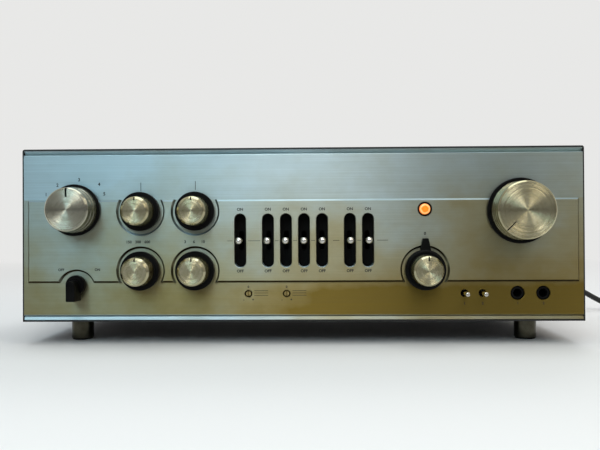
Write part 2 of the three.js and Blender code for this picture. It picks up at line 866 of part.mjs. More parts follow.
function chassis() {
  const low = under + sheet + fit + webBottom;
  const web = block(-chassisHalf, chassisHalf, webY, webBackY, low, under + webTop);
  const walls = [-1, 1].map((side) => {
    const outer = side * chassisHalf;
    const inner = side * (chassisHalf - sheet);
    return block(
      Math.min(outer, inner),
      Math.max(outer, inner),
      webY,
      rearInside - fit,
      low,
      low + wallHeight,
    );
  });
  const spacers = [];
  for (const x of [-column.spacer, column.spacer]) {
    for (const row of spacerRowHeights) {
      spacers.push(rodY(spacerRadius, faceY + panelBack + fit, webY + sheet / 2, x, under + row));
    }
  }
  const holes = controls.map((c) => {
    const radius = c.shaft + noseWall + 2 * fit;
    return rodY(radius, webY - overrun, webBackY + overrun, c.x, under + c.row, potSides);
  });
  return cut(joined([web, ...walls, ...spacers]), holes);
}

function foot(x, y) {
  const neck = footRadius - padInset;
  return turnedZ([
    [0, 0],
    [neck, 0],
    [neck, footPad],
    [footRadius, footPad],
    [footRadius, under - fit],
    [0, under - fit],
  ], x, y, potSides);
}

// Inside

// The board with its cans, film capacitors and transistors standing on it
function circuitBoard() {
  const low = under + sheet + board.rise;
  const deck = low + board.thickness;
  const seat = deck - board.thickness / 2;
  const { left, right, front, back } = boardPlace();
  const parts = [block(left, right, front, back, low, deck)];
  const middle = (front + back) / 2;
  const row = board.deep / 2 - boardFootInset - canRadius;
  for (let i = 0; i < canCount; i += 1) {
    const x = right - boardFootInset - canRadius - i * canPitch;
    parts.push(rodZ(canRadius, seat, deck + canHeight, x, middle + row));
  }
  for (let i = 0; i < filmCount; i += 1) {
    const x = left + boardFootInset + filmBox.width / 2 + i * filmPitch;
    const y = middle - row;
    parts.push(block(
      x - filmBox.width / 2,
      x + filmBox.width / 2,
      y - filmBox.depth / 2,
      y + filmBox.depth / 2,
      seat,
      deck + filmBox.height,
    ));
    parts.push(rodZ(transistor.radius, seat, deck + transistor.height, x, middle, transistor.sides));
  }
  return joined(parts);
}

function phonoScreen() {
  const low = under + sheet + fit;
  const high = low + screen.height;
  const back = rearInside - screen.rearGap;
  const front = back - screen.deep;
  const shell = block(column.screenLeft, column.screenRight, front, back, low, high);
  const inside = block(
    column.screenLeft + screen.wall,
    column.screenRight - screen.wall,
    front + screen.wall,
    back - screen.wall,
    low - overrun,
    high - screen.wall,
  );
  return cut(shell, [inside]);
}

function powerTransformer() {
  const x = column.transformer;
  const reach = transformer.deep / 2 + transformer.bulge;
  const y = rearInside - transformer.rearGap - reach;
  const low = under + sheet + fit;
  const middle = low + transformer.height / 2;
  const halfWidth = transformer.width / 2;
  const halfDeep = transformer.deep / 2;
  const halfCoil = transformer.coil / 2;
  const top = low + transformer.height;
  const core = block(x - halfWidth, x + halfWidth, y - halfDeep, y + halfDeep, low, top);
  const [coilLow, coilHigh] = [middle - halfCoil, middle + halfCoil];
  const coil = block(x - halfCoil, x + halfCoil, y - reach, y + reach, coilLow, coilHigh);
  const foot = halfWidth + flange.reach;
  const base = block(x - foot, x + foot, y - halfDeep, y + halfDeep, low, low + flange.thickness);
  return joined([core, coil, base]);
}

// Rear fittings

// The part of a socket plate that passes through the rear panel
function socketInsert(x, columns) {
  const halfWidth = (columns - 1) * socketPitch / 2 + socketPlate.margin - socketPlate.inset;
  const halfHeight = socketPitch / 2 + socketPlate.margin - socketPlate.inset;
  const z = under + socketRowHeight;
  return { left: x - halfWidth, right: x + halfWidth, low: z - halfHeight, high: z + halfHeight };
}

function outletInsert() {
  const halfWidth = outlet.width / 2 - outlet.inset;
  const halfHeight = outlet.height / 2 - outlet.inset;
  const z = under + outlet.rowHeight;
  return {
    left: column.outlets - halfWidth,
    right: column.outlets + halfWidth,
    low: z - halfHeight,
    high: z + halfHeight,
  };
}

// A plate on the rear panel with its block through the panel
function rearPlate(insert, inset, thickness, deep) {
  const face = rearY + fit;
  const plate = block(
    insert.left - inset,
    insert.right + inset,
    face,
    face + thickness,
    insert.low - inset,
    insert.high + inset,
  );
  const through = block(insert.left, insert.right, rearY - deep, face + fit, insert.low, insert.high);
  return plate.add(through);
}

function socketRows(x, columns) {
  const insert = socketInsert(x, columns);
  const { thickness, deep, inset } = socketPlate;
  const body = rearPlate(insert, inset, thickness, deep);
  const face = rearY + fit + thickness;
  const sockets = [];
  const bores = [];
  for (let i = 0; i < columns; i += 1) {
    for (const row of [-0.5, 0.5]) {
      const sx = x + (i - (columns - 1) / 2) * socketPitch;
      const z = under + socketRowHeight + row * socketPitch;
      sockets.push(rodY(socketRadius, face - thickness / 2, face + socketReach - thickness, sx, z));
      bores.push(rodY(socketBore, face, face + socketReach, sx, z, boreSides));
    }
  }
  return cut(joined([body, ...sockets]), bores);
}

function mainsOutlets() {
  const { thickness, deep, inset } = outlet;
  const body = rearPlate(outletInsert(), inset, thickness, deep);
  const face = rearY + fit + thickness;
  const z = under + outlet.rowHeight;
  const slots = [];
  for (const pair of [-0.5, 0.5]) {
    for (const pin of [-0.5, 0.5]) {
      const x = column.outlets + pair * outletSlot.pitch + pin * outletSlot.gap;
      slots.push(block(
        x - outletSlot.width / 2,
        x + outletSlot.width / 2,
        face - outletSlot.deep,
        face + overrun,
        z - outletSlot.height / 2,
        z + outletSlot.height / 2,
      ));
    }
  }
  return cut(body, slots);
}

function fuseHolder() {
  const outside = rearY + fit;
  const cap = [[fuse.cap, outside], [fuse.cap, rearY + fuse.reach], [0, rearY + fuse.reach]];
  return turnedY([
    [0, rearY - fuse.deep],
    [fuse.neck, rearY - fuse.deep],
    [fuse.neck, outside],
    ...cap,
  ], column.fuse, under + fuse.rowHeight, potSides);
}

function groundTerminal() {
  const outside = rearY + fit;
  const shoulder = outside + terminal.reach / 3;
  return turnedY([
    [0, rearY - terminal.deep],
    [terminal.neck, rearY - terminal.deep],
    [terminal.neck, outside],
    [terminal.seat, outside],
    [terminal.seat, shoulder],
    [terminal.cap, shoulder],
    [terminal.cap, rearY + terminal.reach],
    [0, rearY + terminal.reach],
  ], column.terminal, under + terminal.rowHeight, potSides);
}

// Mains cord

function cordGland() {
  const outside = rearY + fit;
  return turnedY([
    [0, rearInside - gland.deep],
    [gland.rim, rearInside - gland.deep],
    [gland.rim, rearInside - fit],
    [gland.hole, rearInside - fit],
    [gland.hole, outside],
    [gland.rim, outside],
    [gland.rim, outside + gland.rimWidth],
    [gland.root, outside + gland.rimWidth],
    [gland.tip, rearY + gland.reach],
    [0, rearY + gland.reach],
  ], glandX, under + glandRowHeight, potSides);
}

// Where the coil starts: straight on from the last point of the route
const coilY = faceY + coilDepth;
const coilReverse = coilTurns + 0.25; // turns up to the middle of the climb
const coilOuter = coilInner + coilReverse * turnPitch;
const coilFloor = cordRadius + floorGap;

class CoilCurve extends THREE.Curve {
  constructor() {
    super();
    this.lead = 2 * cordRadius;
    this.total = 2 * coilReverse;
  }

  // A point of the turns, counted in turns from the start
  turnPoint(turns) {
    const angle = 2 * Math.PI * turns;
    const inward = Math.min(turns, coilReverse);
    const outward = Math.max(turns - coilReverse, 0);
    const radius = coilOuter - turnPitch * (inward - outward);
    const climb = THREE.MathUtils.smoothstep(turns, coilTurns, coilTurns + 0.5);
    return new THREE.Vector3(
      coilX + radius * Math.sin(angle),
      coilY + radius * Math.cos(angle),
      coilFloor + layerPitch * climb,
    );
  }

  getPoint(t) {
    const straight = this.lead / (2 * Math.PI * coilOuter);
    const turns = t * (this.total + 2 * straight) - straight;
    if (turns < 0) {
      return new THREE.Vector3(coilX + turns * 2 * Math.PI * coilOuter, coilY + coilOuter, coilFloor);
    }
    if (turns > this.total) {
      const past = (turns - this.total) * 2 * Math.PI * coilOuter;
      return this.turnPoint(this.total).add(new THREE.Vector3(-past, 0, 0));
    }
    return this.turnPoint(turns);
  }
}

function tubeAlong(curve, steps, sides) {
  const section = new THREE.Shape();
  for (let i = 0; i < sides; i += 1) {
    const angle = 2 * Math.PI * i / sides;
    const point = [cordRadius * Math.cos(angle), cordRadius * Math.sin(angle)];
    if (i === 0) {
      section.moveTo(...point);
    } else {
      section.lineTo(...point);
    }
  }
  return solidOf(new THREE.ExtrudeGeometry(section, { steps, extrudePath: curve }));
}

function cordCoil() {
  const curve = new CoilCurve();
  const steps = Math.round(curve.total * coilSteps) + 2;
  reportGap(curve);
  console.log(`coil length ${curve.getLength().toFixed(0)} mm`);
  return tubeAlong(curve, steps, coilSides);
}

// Prints the least gap between the coil's turns, measured between points of its middle line
function reportGap(curve) {
  const points = curve.getSpacedPoints(gapSamples);
  const apart = Math.ceil(gapSamples / curve.total / 2);
  let least = Infinity;
  for (let i = 0; i < points.length; i += 1) {
    for (let j = i + apart; j < points.length; j += 1) {
      least = Math.min(least, points[i].distanceTo(points[j]));
    }
  }
  console.log(`least gap between the coil's turns ${(least - 2 * cordRadius).toFixed(2)} mm`);
}

function mainsCord() {
  const points = cordRoute.map(([x, behind, z]) => new THREE.Vector3(x, rearY + behind, z));
  const startX = glandX;
  const startZ = under + glandRowHeight;
  const startY = rearY + gland.reach + fit;
  const start = [0, 2 * cordRadius].map((run) => new THREE.Vector3(startX, startY + run, startZ));
  const endX = coilX - 2 * cordRadius - fit;
  const end = [2 * cordRadius, 0].map((run) => {
    return new THREE.Vector3(endX - run, coilY + coilOuter, coilFloor);
  });
  const curve = new THREE.CatmullRomCurve3([...start, ...points, ...end], false, 'centripetal');
  curve.arcLengthDivisions = 1200;
  console.log(`free cord length ${curve.getLength().toFixed(0)} mm`);
  return tubeAlong(curve, cordSteps, cordSides);
}

// A two-pin plug lying beside the coil, its cord end towards the coil
function mainsPlug() {
  const start = coilX - 2 * cordRadius - fit;
  const y = coilY - coilOuter;
  const z = coilFloor + layerPitch;
  const boot = new THREE.CylinderGeometry(plug.bootTip, plug.bootRadius, plug.boot, potSides);
  boot.rotateZ(-Math.PI / 2).translate(start - plug.boot / 2, y, z);
  const face = start - plug.boot;
  const end = face - plug.length;
  const outline = new THREE.Shape();
  const halfWidth = plug.width / 2;
  const halfHeight = z - floorGap;
  const inner = plugCorner;
  outline.absarc(halfWidth - inner, halfHeight - inner, inner, 0, Math.PI / 2, false);
  outline.absarc(-halfWidth + inner, halfHeight - inner, inner, Math.PI / 2, Math.PI, false);
  outline.absarc(-halfWidth + inner, -halfHeight + inner, inner, Math.PI, 1.5 * Math.PI, false);
  outline.absarc(halfWidth - inner, -halfHeight + inner, inner, 1.5 * Math.PI, 2 * Math.PI, false);
  const body = new THREE.ExtrudeGeometry(outline, {
    depth: plug.length,
    bevelEnabled: false,
    curveSegments: plugSteps,
  });
  const axes = [new THREE.Vector3(0, 1, 0), new THREE.Vector3(0, 0, 1), new THREE.Vector3(1, 0, 0)];
  body.applyMatrix4(new THREE.Matrix4().makeBasis(...axes)).translate(end, y, z);
  const blades = [-0.5, 0.5].map((side) => {
    const middle = y + side * blade.gap;
    return block(
      end - plug.bladeLength,
      end + plug.length / 2,
      middle - blade.thickness / 2,
      middle + blade.thickness / 2,
      z - blade.width / 2,
      z + blade.width / 2,
    );
  });
  return joined([solidOf(boot), solidOf(body), ...blades]);
}

// The whole assembly

addPiece('front_panel', frontPanel(), 'panel');
addPiece('chassis', chassis(), 'steel');
addPiece('case_cover', caseCover(), 'cover');
addPiece('bottom_plate', bottomPlate(), 'cover');
addPiece('rear_panel', rearPanel(), 'cover');
addPiece('slot_mask', leverMask(), 'black');

addPiece('volume_knob', metalKnob(volume, volumeX, volumeRowHeight, volumeIndex, knobSides), 'spun');
const selectorKnob = metalKnob(selector, column.selector, selectorRowHeight, selectorIndex, knobSides);
addPiece('selector_knob', selectorKnob, 'spun');
for (const [name, x, row] of [
  ['bass_knob', bassX, upperRowHeight],
  ['treble_knob', trebleX, upperRowHeight],
  ['bass_turnover_knob', bassX, lowerRowHeight],
  ['treble_turnover_knob', trebleX, lowerRowHeight],
]) {
  addPiece(name, metalKnob(small, x, row, smallIndex, smallSides), 'spun');
}
addPiece('equaliser_knob', barKnob(), 'black');
addPiece('balance_ring', balanceRing(), 'black');
const attenuatorKnob = metalKnob(attenuator, balanceX, lowerRowHeight, smallIndex, smallSides);
addPiece('attenuator_knob', attenuatorKnob, 'spun');

for (const control of controls) {
  const make = control.wafers ? waferControl : potControl;
  addPiece(control.name, make(control), 'nickel');
}

let nextLever = 0;
leverGroups.forEach((count, i) => {
  const xs = leverXs.slice(nextLever, nextLever + count);
  addPiece(`lever_bank_${i + 1}`, leverBank(xs), 'steel');
  nextLever += count;
});
leverXs.forEach((x, i) => addPiece(`lever_${i + 1}`, lever(x), 'chrome'));

const sides = ['left', 'right'];
buttonXs.forEach((x, i) => addPiece(`push_button_${sides[i]}`, pushButton(x), 'chrome'));
trimmerXs.forEach((x, i) => addPiece(`trimmer_screw_${sides[i]}`, trimmerScrew(x), 'nickel'));
jackXs.forEach((x, i) => addPiece(`phone_jack_${sides[i]}`, phoneJack(x), 'black'));
const pushEnd = buttonDeep + buttonTravel + boreSpare;
addPiece('push_switch', boredBlock(buttonXs, buttonRadius + fit, pushEnd), 'steel');
addPiece('trimmer_block', boredBlock(trimmerXs, trimmerRadius + fit, trimmerDeep + boreSpare), 'board');
addPiece('lamp_bezel', lampBezel(), 'black');
addPiece('lamp_lens', lampLens(), 'amber');

addPiece('main_circuit_board', circuitBoard(), 'board');
addPiece('phono_screen', phonoScreen(), 'steel');
addPiece('power_transformer', powerTransformer(), 'steel');

addPiece('phono_sockets', socketRows(column.phonoSockets, phonoColumns), 'nickel');
addPiece('line_sockets', socketRows(column.lineSockets, lineColumns), 'nickel');
addPiece('mains_outlets', mainsOutlets(), 'black');
addPiece('fuse_holder', fuseHolder(), 'black');
addPiece('ground_terminal', groundTerminal(), 'nickel');

addPiece('cord_gland', cordGland(), 'rubber');
addPiece('mains_cord', mainsCord(), 'rubber');
addPiece('cord_coil', cordCoil(), 'rubber');
addPiece('mains_plug', mainsPlug(), 'rubber');

for (const [end, depth] of [['front', footInset], ['rear', bodyDepth - footInset]]) {
  for (const [side, x] of [['left', -column.foot], ['right', column.foot]]) {
    addPiece(`foot_${end}_${side}`, foot(x, faceY + depth), 'nickel');
  }
}

export default group;
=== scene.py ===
import json
import math

import bpy
from mathutils import Matrix, Vector


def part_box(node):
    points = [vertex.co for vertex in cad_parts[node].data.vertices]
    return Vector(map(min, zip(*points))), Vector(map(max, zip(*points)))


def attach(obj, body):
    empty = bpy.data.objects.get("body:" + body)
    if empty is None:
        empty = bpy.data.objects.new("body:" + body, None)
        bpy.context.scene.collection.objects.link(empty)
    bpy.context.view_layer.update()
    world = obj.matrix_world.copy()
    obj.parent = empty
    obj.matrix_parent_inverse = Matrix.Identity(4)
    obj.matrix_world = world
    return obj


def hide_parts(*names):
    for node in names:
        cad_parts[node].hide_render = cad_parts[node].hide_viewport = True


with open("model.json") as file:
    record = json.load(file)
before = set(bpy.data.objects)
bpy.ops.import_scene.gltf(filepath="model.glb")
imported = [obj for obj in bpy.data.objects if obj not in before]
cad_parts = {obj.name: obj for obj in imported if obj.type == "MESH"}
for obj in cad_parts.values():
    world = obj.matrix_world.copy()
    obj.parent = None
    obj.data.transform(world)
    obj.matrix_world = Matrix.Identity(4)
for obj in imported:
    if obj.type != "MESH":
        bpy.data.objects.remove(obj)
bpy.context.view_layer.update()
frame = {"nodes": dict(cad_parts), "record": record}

# Sizes are in millimetres, and MM turns them into metres
MM = 0.001
FACE = -96.75  # main face of the front panel
RAISED = FACE - 2.2  # front of its raised field
REAR = 108.25  # back of the rear panel
UNDER = 21.0  # underside of the case
TOP = 171.0
HALF = 242.5  # half the case's width
PLATE = 241.0  # half the front panel's width
SHEET = 1.2  # thickness of the cover

# Places of the front's controls along X
VOLUME_X = 0.7695 * HALF
SELECTOR_X = -0.8058 * HALF
BASS_X = -0.5715 * HALF
TREBLE_X = -0.3761 * HALF
EQUALISER_X = -0.8016 * HALF
BALANCE_X = 0.4371 * HALF
BUTTON_XS = (0.5765 * HALF, 0.64 * HALF)
TRIMMER_XS = (-0.188 * HALF, -0.052 * HALF)
JACK_XS = (0.7633 * HALF, 0.8532 * HALF)
LEVER_STEPS = (0, 0.0986, 0.1625, 0.2264, 0.2903, 0.3889, 0.4528)
LEVER_XS = [(step - 0.2157) * HALF for step in LEVER_STEPS]

# Heights of the front's rows
VOLUME_Z = UNDER + 94.4
SELECTOR_Z = UNDER + 96.8
UPPER = UNDER + 95.4  # bass and treble knobs
LOWER = UNDER + 44.2  # turnover knobs, balance ring and attenuator
EQUALISER_Z = UNDER + 32.2
BASE = UNDER + 24  # trimmers, push buttons and jacks
LEVER_Z = UNDER + 69.9
LAMP_Z = UNDER + 96.2

# Rear panel
GLAND_X, GLAND_Z = 0.8247 * HALF, UNDER + 57
PHONO_X, PHONO_COLUMNS = -0.734 * HALF, 3
LINE_X, LINE_COLUMNS = -0.2557 * HALF, 7
OUTLET_X = 0.3794 * HALF
FUSE_X = 0.6186 * HALF
GROUND_X = -0.932 * HALF
FITTINGS_Z = UNDER + 74
REAR_MARKS_Z = UNDER + 99
SOCKET_STEP = 17
PIN_OFFSET = 6.35  # from the middle of an outlet or plug to its pins

CAMERA_ANGLES = (-1.24, 0.37, -0.29)  # yaw, pitch and roll in degrees
CAMERA_PLACE = Vector((11.1, -647.35, 100.5))
CAMERA_LENS = 38.35


# Camera, at the photograph's angle

def aim_camera():
    yaw, pitch, roll = (math.radians(angle) for angle in CAMERA_ANGLES)
    ahead = Vector((math.sin(yaw) * math.cos(pitch), math.cos(yaw) * math.cos(pitch), math.sin(pitch)))
    level = Vector((math.cos(yaw), -math.sin(yaw), 0))
    upright = level.cross(ahead)
    right = level * math.cos(roll) + upright * math.sin(roll)
    up = upright * math.cos(roll) - level * math.sin(roll)
    turn = Matrix((right, up, -ahead)).transposed().to_4x4()
    bpy.ops.object.camera_add()
    camera = bpy.context.object
    camera.matrix_world = Matrix.Translation(CAMERA_PLACE * MM) @ turn
    camera.data.lens = CAMERA_LENS
    camera.data.sensor_width = 36
    camera.data.clip_start = 0.05
    bpy.context.scene.camera = camera


# Modelling by hand

def clear():
    bpy.ops.object.select_all(action="DESELECT")


def choose(piece):
    clear()
    piece.select_set(True)
    bpy.context.view_layer.objects.active = piece


def renamed(piece, name):
    piece.name = piece.data.name = name
    return piece


def named(name):
    return renamed(bpy.context.object, name)


def settle(piece):
    choose(piece)
    bpy.ops.object.transform_apply(location=True, rotation=True, scale=True)
    return piece


def enter():
    bpy.ops.object.mode_set(mode="EDIT")


def leave():
    bpy.ops.object.mode_set(mode="OBJECT")


def close_up(piece):
    """Merges doubled corners and turns the faces outwards"""
    choose(piece)
    enter()
    bpy.ops.mesh.select_all(action="SELECT")
    bpy.ops.mesh.remove_doubles(threshold=0.002 * MM)
    bpy.ops.mesh.normals_make_consistent(inside=False)
    leave()
    return piece


def pick(piece, kind, wanted):
    """Goes into edit mode with the corners, edges or faces selected that pass a test on their place"""
    choose(piece)
    enter()
    bpy.ops.mesh.select_mode(type=kind)
    bpy.ops.mesh.select_all(action="DESELECT")
    leave()
    mesh = piece.data
    if kind == "VERT":
        for corner in mesh.vertices:
            corner.select = wanted(corner.co / MM)
    if kind == "EDGE":
        for edge in mesh.edges:
            a, b = (mesh.vertices[i].co / MM for i in edge.vertices)
            edge.select = wanted(a, b)
    if kind == "FACE":
        for face in mesh.polygons:
            face.select = wanted(face.center / MM, face.normal)
    enter()


def bevel_edges(piece, wanted, width, segments):
    pick(piece, "EDGE", wanted)
    bpy.ops.mesh.bevel(offset=width * MM, segments=segments)
    leave()


def modify(piece, kind, **settings):
    choose(piece)
    step = piece.modifiers.new(kind.title(), kind)
    for key, value in settings.items():
        setattr(step, key, value)
    bpy.ops.object.modifier_apply(modifier=step.name)
    return piece


def soften(piece, width, segments=2):
    """Rounds all edges that bend by more than 32 degrees"""
    return modify(
        piece, "BEVEL", width=width * MM, segments=segments,
        limit_method="ANGLE", angle_limit=math.radians(32), use_clamp_overlap=True,
    )


def shade(piece, angle=34):
    """Smooths a piece's bends while its flats stay flat"""
    choose(piece)
    bpy.ops.object.shade_smooth_by_angle(angle=math.radians(angle))
    return modify(piece, "WEIGHTED_NORMAL", keep_sharp=True, weight=90)


def joined(name, parts):
    clear()
    for part in parts:
        part.select_set(True)
    bpy.context.view_layer.objects.active = parts[0]
    if len(parts) > 1:
        bpy.ops.object.join()
    return named(name)


def cut(piece, tools):
    tool = joined("cutter", tools)
    modify(piece, "BOOLEAN", object=tool, operation="DIFFERENCE", solver="EXACT", use_self=True)
    bpy.data.objects.remove(tool)
    return piece


def united(piece, other):
    modify(piece, "BOOLEAN", object=other, operation="UNION", solver="EXACT")
    bpy.data.objects.remove(other)
    return piece


def trimmed(piece):
    """Takes away flaps that hang on a closed mesh with one side free"""
    pick(piece, "EDGE", lambda a, b: False)
    bpy.ops.mesh.select_non_manifold(
        extend=False, use_wire=True, use_boundary=True, use_multi_face=False, use_non_contiguous=False,
        use_verts=False,
    )
    bpy.ops.mesh.delete(type="EDGE")
    leave()
    return piece


def copied(piece, name, shift):
    choose(piece)
    bpy.ops.object.duplicate(linked=False)
    twin = named(name)
    twin.location = Vector(shift) * MM
    return settle(twin)


def put(piece, axis, middle):
    """Turns a piece made along Z to run along an axis, and moves it to its middle"""
    turns = {"X": (0, math.pi / 2, 0), "Y": (-math.pi / 2, 0, 0), "Z": (0, 0, 0)}
    piece.rotation_euler = turns[axis]
    piece.location = Vector(middle) * MM
    return close_up(settle(piece))


def draw_out(rings, start, grow):
    """Extrudes the selected end ring by ring; grow gives the scale from one ring to the next"""
    now = start
    for ring in rings:
        step = (ring[1] - now[1]) * MM
        bpy.ops.mesh.extrude_region_move(TRANSFORM_OT_translate={"value": (0, 0, step)})
        bpy.ops.transform.resize(value=grow(now[0], ring[0]), center_override=(0, 0, ring[1] * MM))
        now = ring


def disc(name, radius, height, sides):
    clear()
    bpy.ops.mesh.primitive_circle_add(
        vertices=sides, radius=radius * MM, fill_type="NGON", location=(0, 0, height * MM))
    return settle(named(name))


def turned(name, profile, middle=(0, 0, 0), axis="Y", sides=64):
    """A turned piece: a disc drawn out along a profile of radius and place along the axis"""
    start, *rings = profile
    piece = disc(name, *start, sides)
    pick(piece, "FACE", lambda place, normal: True)
    draw_out(rings, start, lambda old, new: (new / old, new / old, 1))
    leave()
    return put(piece, axis, middle)


def round_slot(name, size, rings, middle, axis="Y", sides=32):
    """A round-ended bar: a disc pulled apart and drawn out; rings give growth and place"""
    width, height = size[0] / 2, size[1] / 2
    start, *rest = rings
    piece = disc(name, width, start[1], sides)
    for side in (1, -1):
        pick(piece, "VERT", lambda place: place.y * side > 0.001)
        bpy.ops.transform.translate(value=(0, side * (height - width) * MM, 0))
        leave()
    pick(piece, "FACE", lambda place, normal: True)
    draw_out(rest, start, lambda old, new: (
        (width + new) / (width + old), (height + new) / (height + old), 1))
    leave()
    return put(piece, axis, middle)


def drawn(name, outline, start, end, axis="Y"):
    """A plate drawn corner by corner, filled, and given its thickness along an axis"""
    orders = {"X": (2, 0, 1), "Y": (0, 2, 1), "Z": (0, 1, 2)}

    def place(a, b, along):
        values = (a, b, along)
        return Vector([values[i] for i in orders[axis]]) * MM

    clear()
    bpy.ops.mesh.primitive_plane_add(size=MM)
    piece = named(name)
    pick(piece, "VERT", lambda corner: True)
    bpy.ops.mesh.merge(type="CENTER")
    bpy.ops.transform.translate(value=place(*outline[0], start))
    for a, b in zip(outline, outline[1:]):
        step = place(*b, start) - place(*a, start)
        bpy.ops.mesh.extrude_vertices_move(TRANSFORM_OT_translate={"value": step})
    bpy.ops.mesh.select_all(action="SELECT")
    bpy.ops.mesh.edge_face_add()
    depth = place(0, 0, end) - place(0, 0, start)
    bpy.ops.mesh.extrude_region_move(TRANSFORM_OT_translate={"value": depth})
    leave()
    return close_up(settle(piece))


def block(name, low, high):
    low, high = Vector(low), Vector(high)
    clear()
    bpy.ops.mesh.primitive_cube_add(size=1, location=(low + high) / 2 * MM, scale=(high - low) * MM)
    return settle(named(name))


def arc(x, y, radius, first, last, steps):
    angles = [math.radians(first + (last - first) * i / steps) for i in range(steps + 1)]
    return [(x + radius * math.cos(angle), y + radius * math.sin(angle)) for angle in angles]


def printed_words(words, size, x, z, plane, facing=1):
    """Words as thin raised ink; facing is 1 for the front and -1 for the rear"""
    clear()
    bpy.ops.object.text_add()
    piece = named("print_words")
    piece.data.body = words
    piece.data.size = size * MM
    piece.data.align_x = "CENTER"
    piece.data.align_y = "CENTER"
    piece.data.resolution_u = 3
    piece.data.offset = 0.11 * MM
    piece.data.extrude = 0.01 * MM
    bpy.ops.object.convert(target="MESH")
    piece.rotation_euler = (math.pi / 2, 0, 0 if facing > 0 else math.pi)
    piece.location = Vector((x, plane, z)) * MM
    return settle(piece)


def printed_line(start, end, width, plane, facing=1):
    (x0, z0), (x1, z1) = start, end
    length = math.hypot(x1 - x0, z1 - z0)
    clear()
    bpy.ops.mesh.primitive_cube_add(size=1)
    piece = named("print_line")
    piece.scale = (length * MM, width * MM, 0.02 * MM)
    piece.rotation_euler = (math.pi / 2, -math.atan2(z1 - z0, x1 - x0), 0 if facing > 0 else math.pi)
    piece.location = Vector(((x0 + x1) / 2, plane, (z0 + z1) / 2)) * MM
    return settle(piece)


# Materials

def tone(red, green, blue):
    """A colour as it looks on a screen, from 0 to 1, as the shader wants it"""
    shares = [c / 12.92 if c < 0.04045 else ((c + 0.055) / 1.055) ** 2.4 for c in (red, green, blue)]
    return (*shares, 1)


class Value:
    """An output of a node that takes part in sums with numbers and other outputs"""

    def __init__(self, finish, socket):
        self.finish = finish
        self.socket = socket

    def sum(self, operation, first, second):
        return self.finish.node("Math", {"operation": operation}, {0: first, 1: second})

    def __add__(self, other):
        return self.sum("ADD", self, other)

    __radd__ = __add__

    def __sub__(self, other):
        return self.sum("SUBTRACT", self, other)

    def __rsub__(self, other):
        return self.sum("SUBTRACT", other, self)

    def __mul__(self, other):
        return self.sum("MULTIPLY", self, other)

    __rmul__ = __mul__

    def __truediv__(self, other):
        return self.sum("DIVIDE", self, other)

    def __rtruediv__(self, other):
        return self.sum("DIVIDE", other, self)

    def __pow__(self, other):
        return self.sum("POWER", self, other)


class Finish:
    """A material for one of the object's finishes"""

    def __init__(self, name, tree=None):
        if tree is None:
            self.material = bpy.data.materials.new(name)
            self.material.use_nodes = True
            tree = self.material.node_tree
            self.shader = tree.nodes["Principled BSDF"]
        self.tree = tree

    def node(self, kind, settings=None, inputs=None, output=0):
        made = self.tree.nodes.new("ShaderNode" + kind)
        for key, value in (settings or {}).items():
            if key == "stops":
                self.set_stops(made.color_ramp, value)
            else:
                setattr(made, key, value)
        for key, value in (inputs or {}).items():
            self.feed(made.inputs[key], value)
        return Value(self, made.outputs[output])

    def set_stops(self, ramp, stops):
        while len(ramp.elements) < len(stops):
            ramp.elements.new(1)
        for element, (place, colour) in zip(ramp.elements, stops):
            element.position = place
            element.color = colour

    def feed(self, socket, value):
        if isinstance(value, Value):
            self.tree.links.new(value.socket, socket)
        else:
            socket.default_value = value

    def set(self, **values):
        for key, value in values.items():
            self.feed(self.shader.inputs[key.replace("_", " ")], value)
        return self.material

    def shader_output(self):
        return Value(self, self.shader.outputs[0])

    def outputs_of(self, value, *names):
        return [Value(self, value.socket.node.outputs[name]) for name in names]

    def place(self, centre=(0, 0, 0), size=(1, 1, 1)):
        """The place on the piece from a centre, in units of a size, both in millimetres"""
        here = self.node("TexCoord", output="Object")
        return self.node("Mapping", {"vector_type": "TEXTURE"}, {
            "Vector": here,
            "Location": Vector(centre) * MM,
            "Scale": Vector(size) * MM,
        })

    def split(self, vector):
        parts = self.node("SeparateXYZ", None, {0: vector})
        return self.outputs_of(parts, "X", "Y", "Z")

    def joined(self, x, y, z):
        return self.node("CombineXYZ", None, {0: x, 1: y, 2: z})

    def noise(self, size, detail, rough):
        """Noise on the piece with grains of a size in millimetres, one number or one for each way"""
        size = size if hasattr(size, "__len__") else (size,) * 3
        return self.noise_at(self.place(size=size), detail, rough)

    def noise_at(self, vector, detail, rough):
        return self.node("TexNoise", None, {
            "Vector": vector, "Scale": 1.0, "Detail": detail, "Roughness": rough,
        })

    def spread(self, value, low, high, first=0.0, last=1.0):
        """A value that runs from first to last while the given one runs from low to high"""
        return self.node("MapRange", None, {0: value, 1: low, 2: high, 3: first, 4: last})

    def ramp(self, value, stops):
        return self.node("ValToRGB", {"stops": stops}, {0: value})

    def mix(self, share, first, second):
        return self.node("Mix", {"data_type": "RGBA"}, {0: share, 6: first, 7: second}, output=2)

    def vector(self, operation, *values):
        return self.node("VectorMath", {"operation": operation}, dict(enumerate(values)))

    def bump(self, height, distance, strength):
        return self.node("Bump", None, {
            "Strength": strength, "Distance": distance * MM, "Height": height,
        })


# Colours of the front panel: a cool clean end for the top left, which is painted sheen, running to stained
# brown, which is partly stain and partly painted shade
PANEL_STAIN_AND_SHEEN = [
    (0.08, tone(0.69, 0.765, 0.785)),
    (0.33, tone(0.645, 0.685, 0.655)),
    (0.54, tone(0.61, 0.6, 0.49)),
    (0.74, tone(0.56, 0.51, 0.34)),
    (0.92, tone(0.47, 0.4, 0.175)),
]


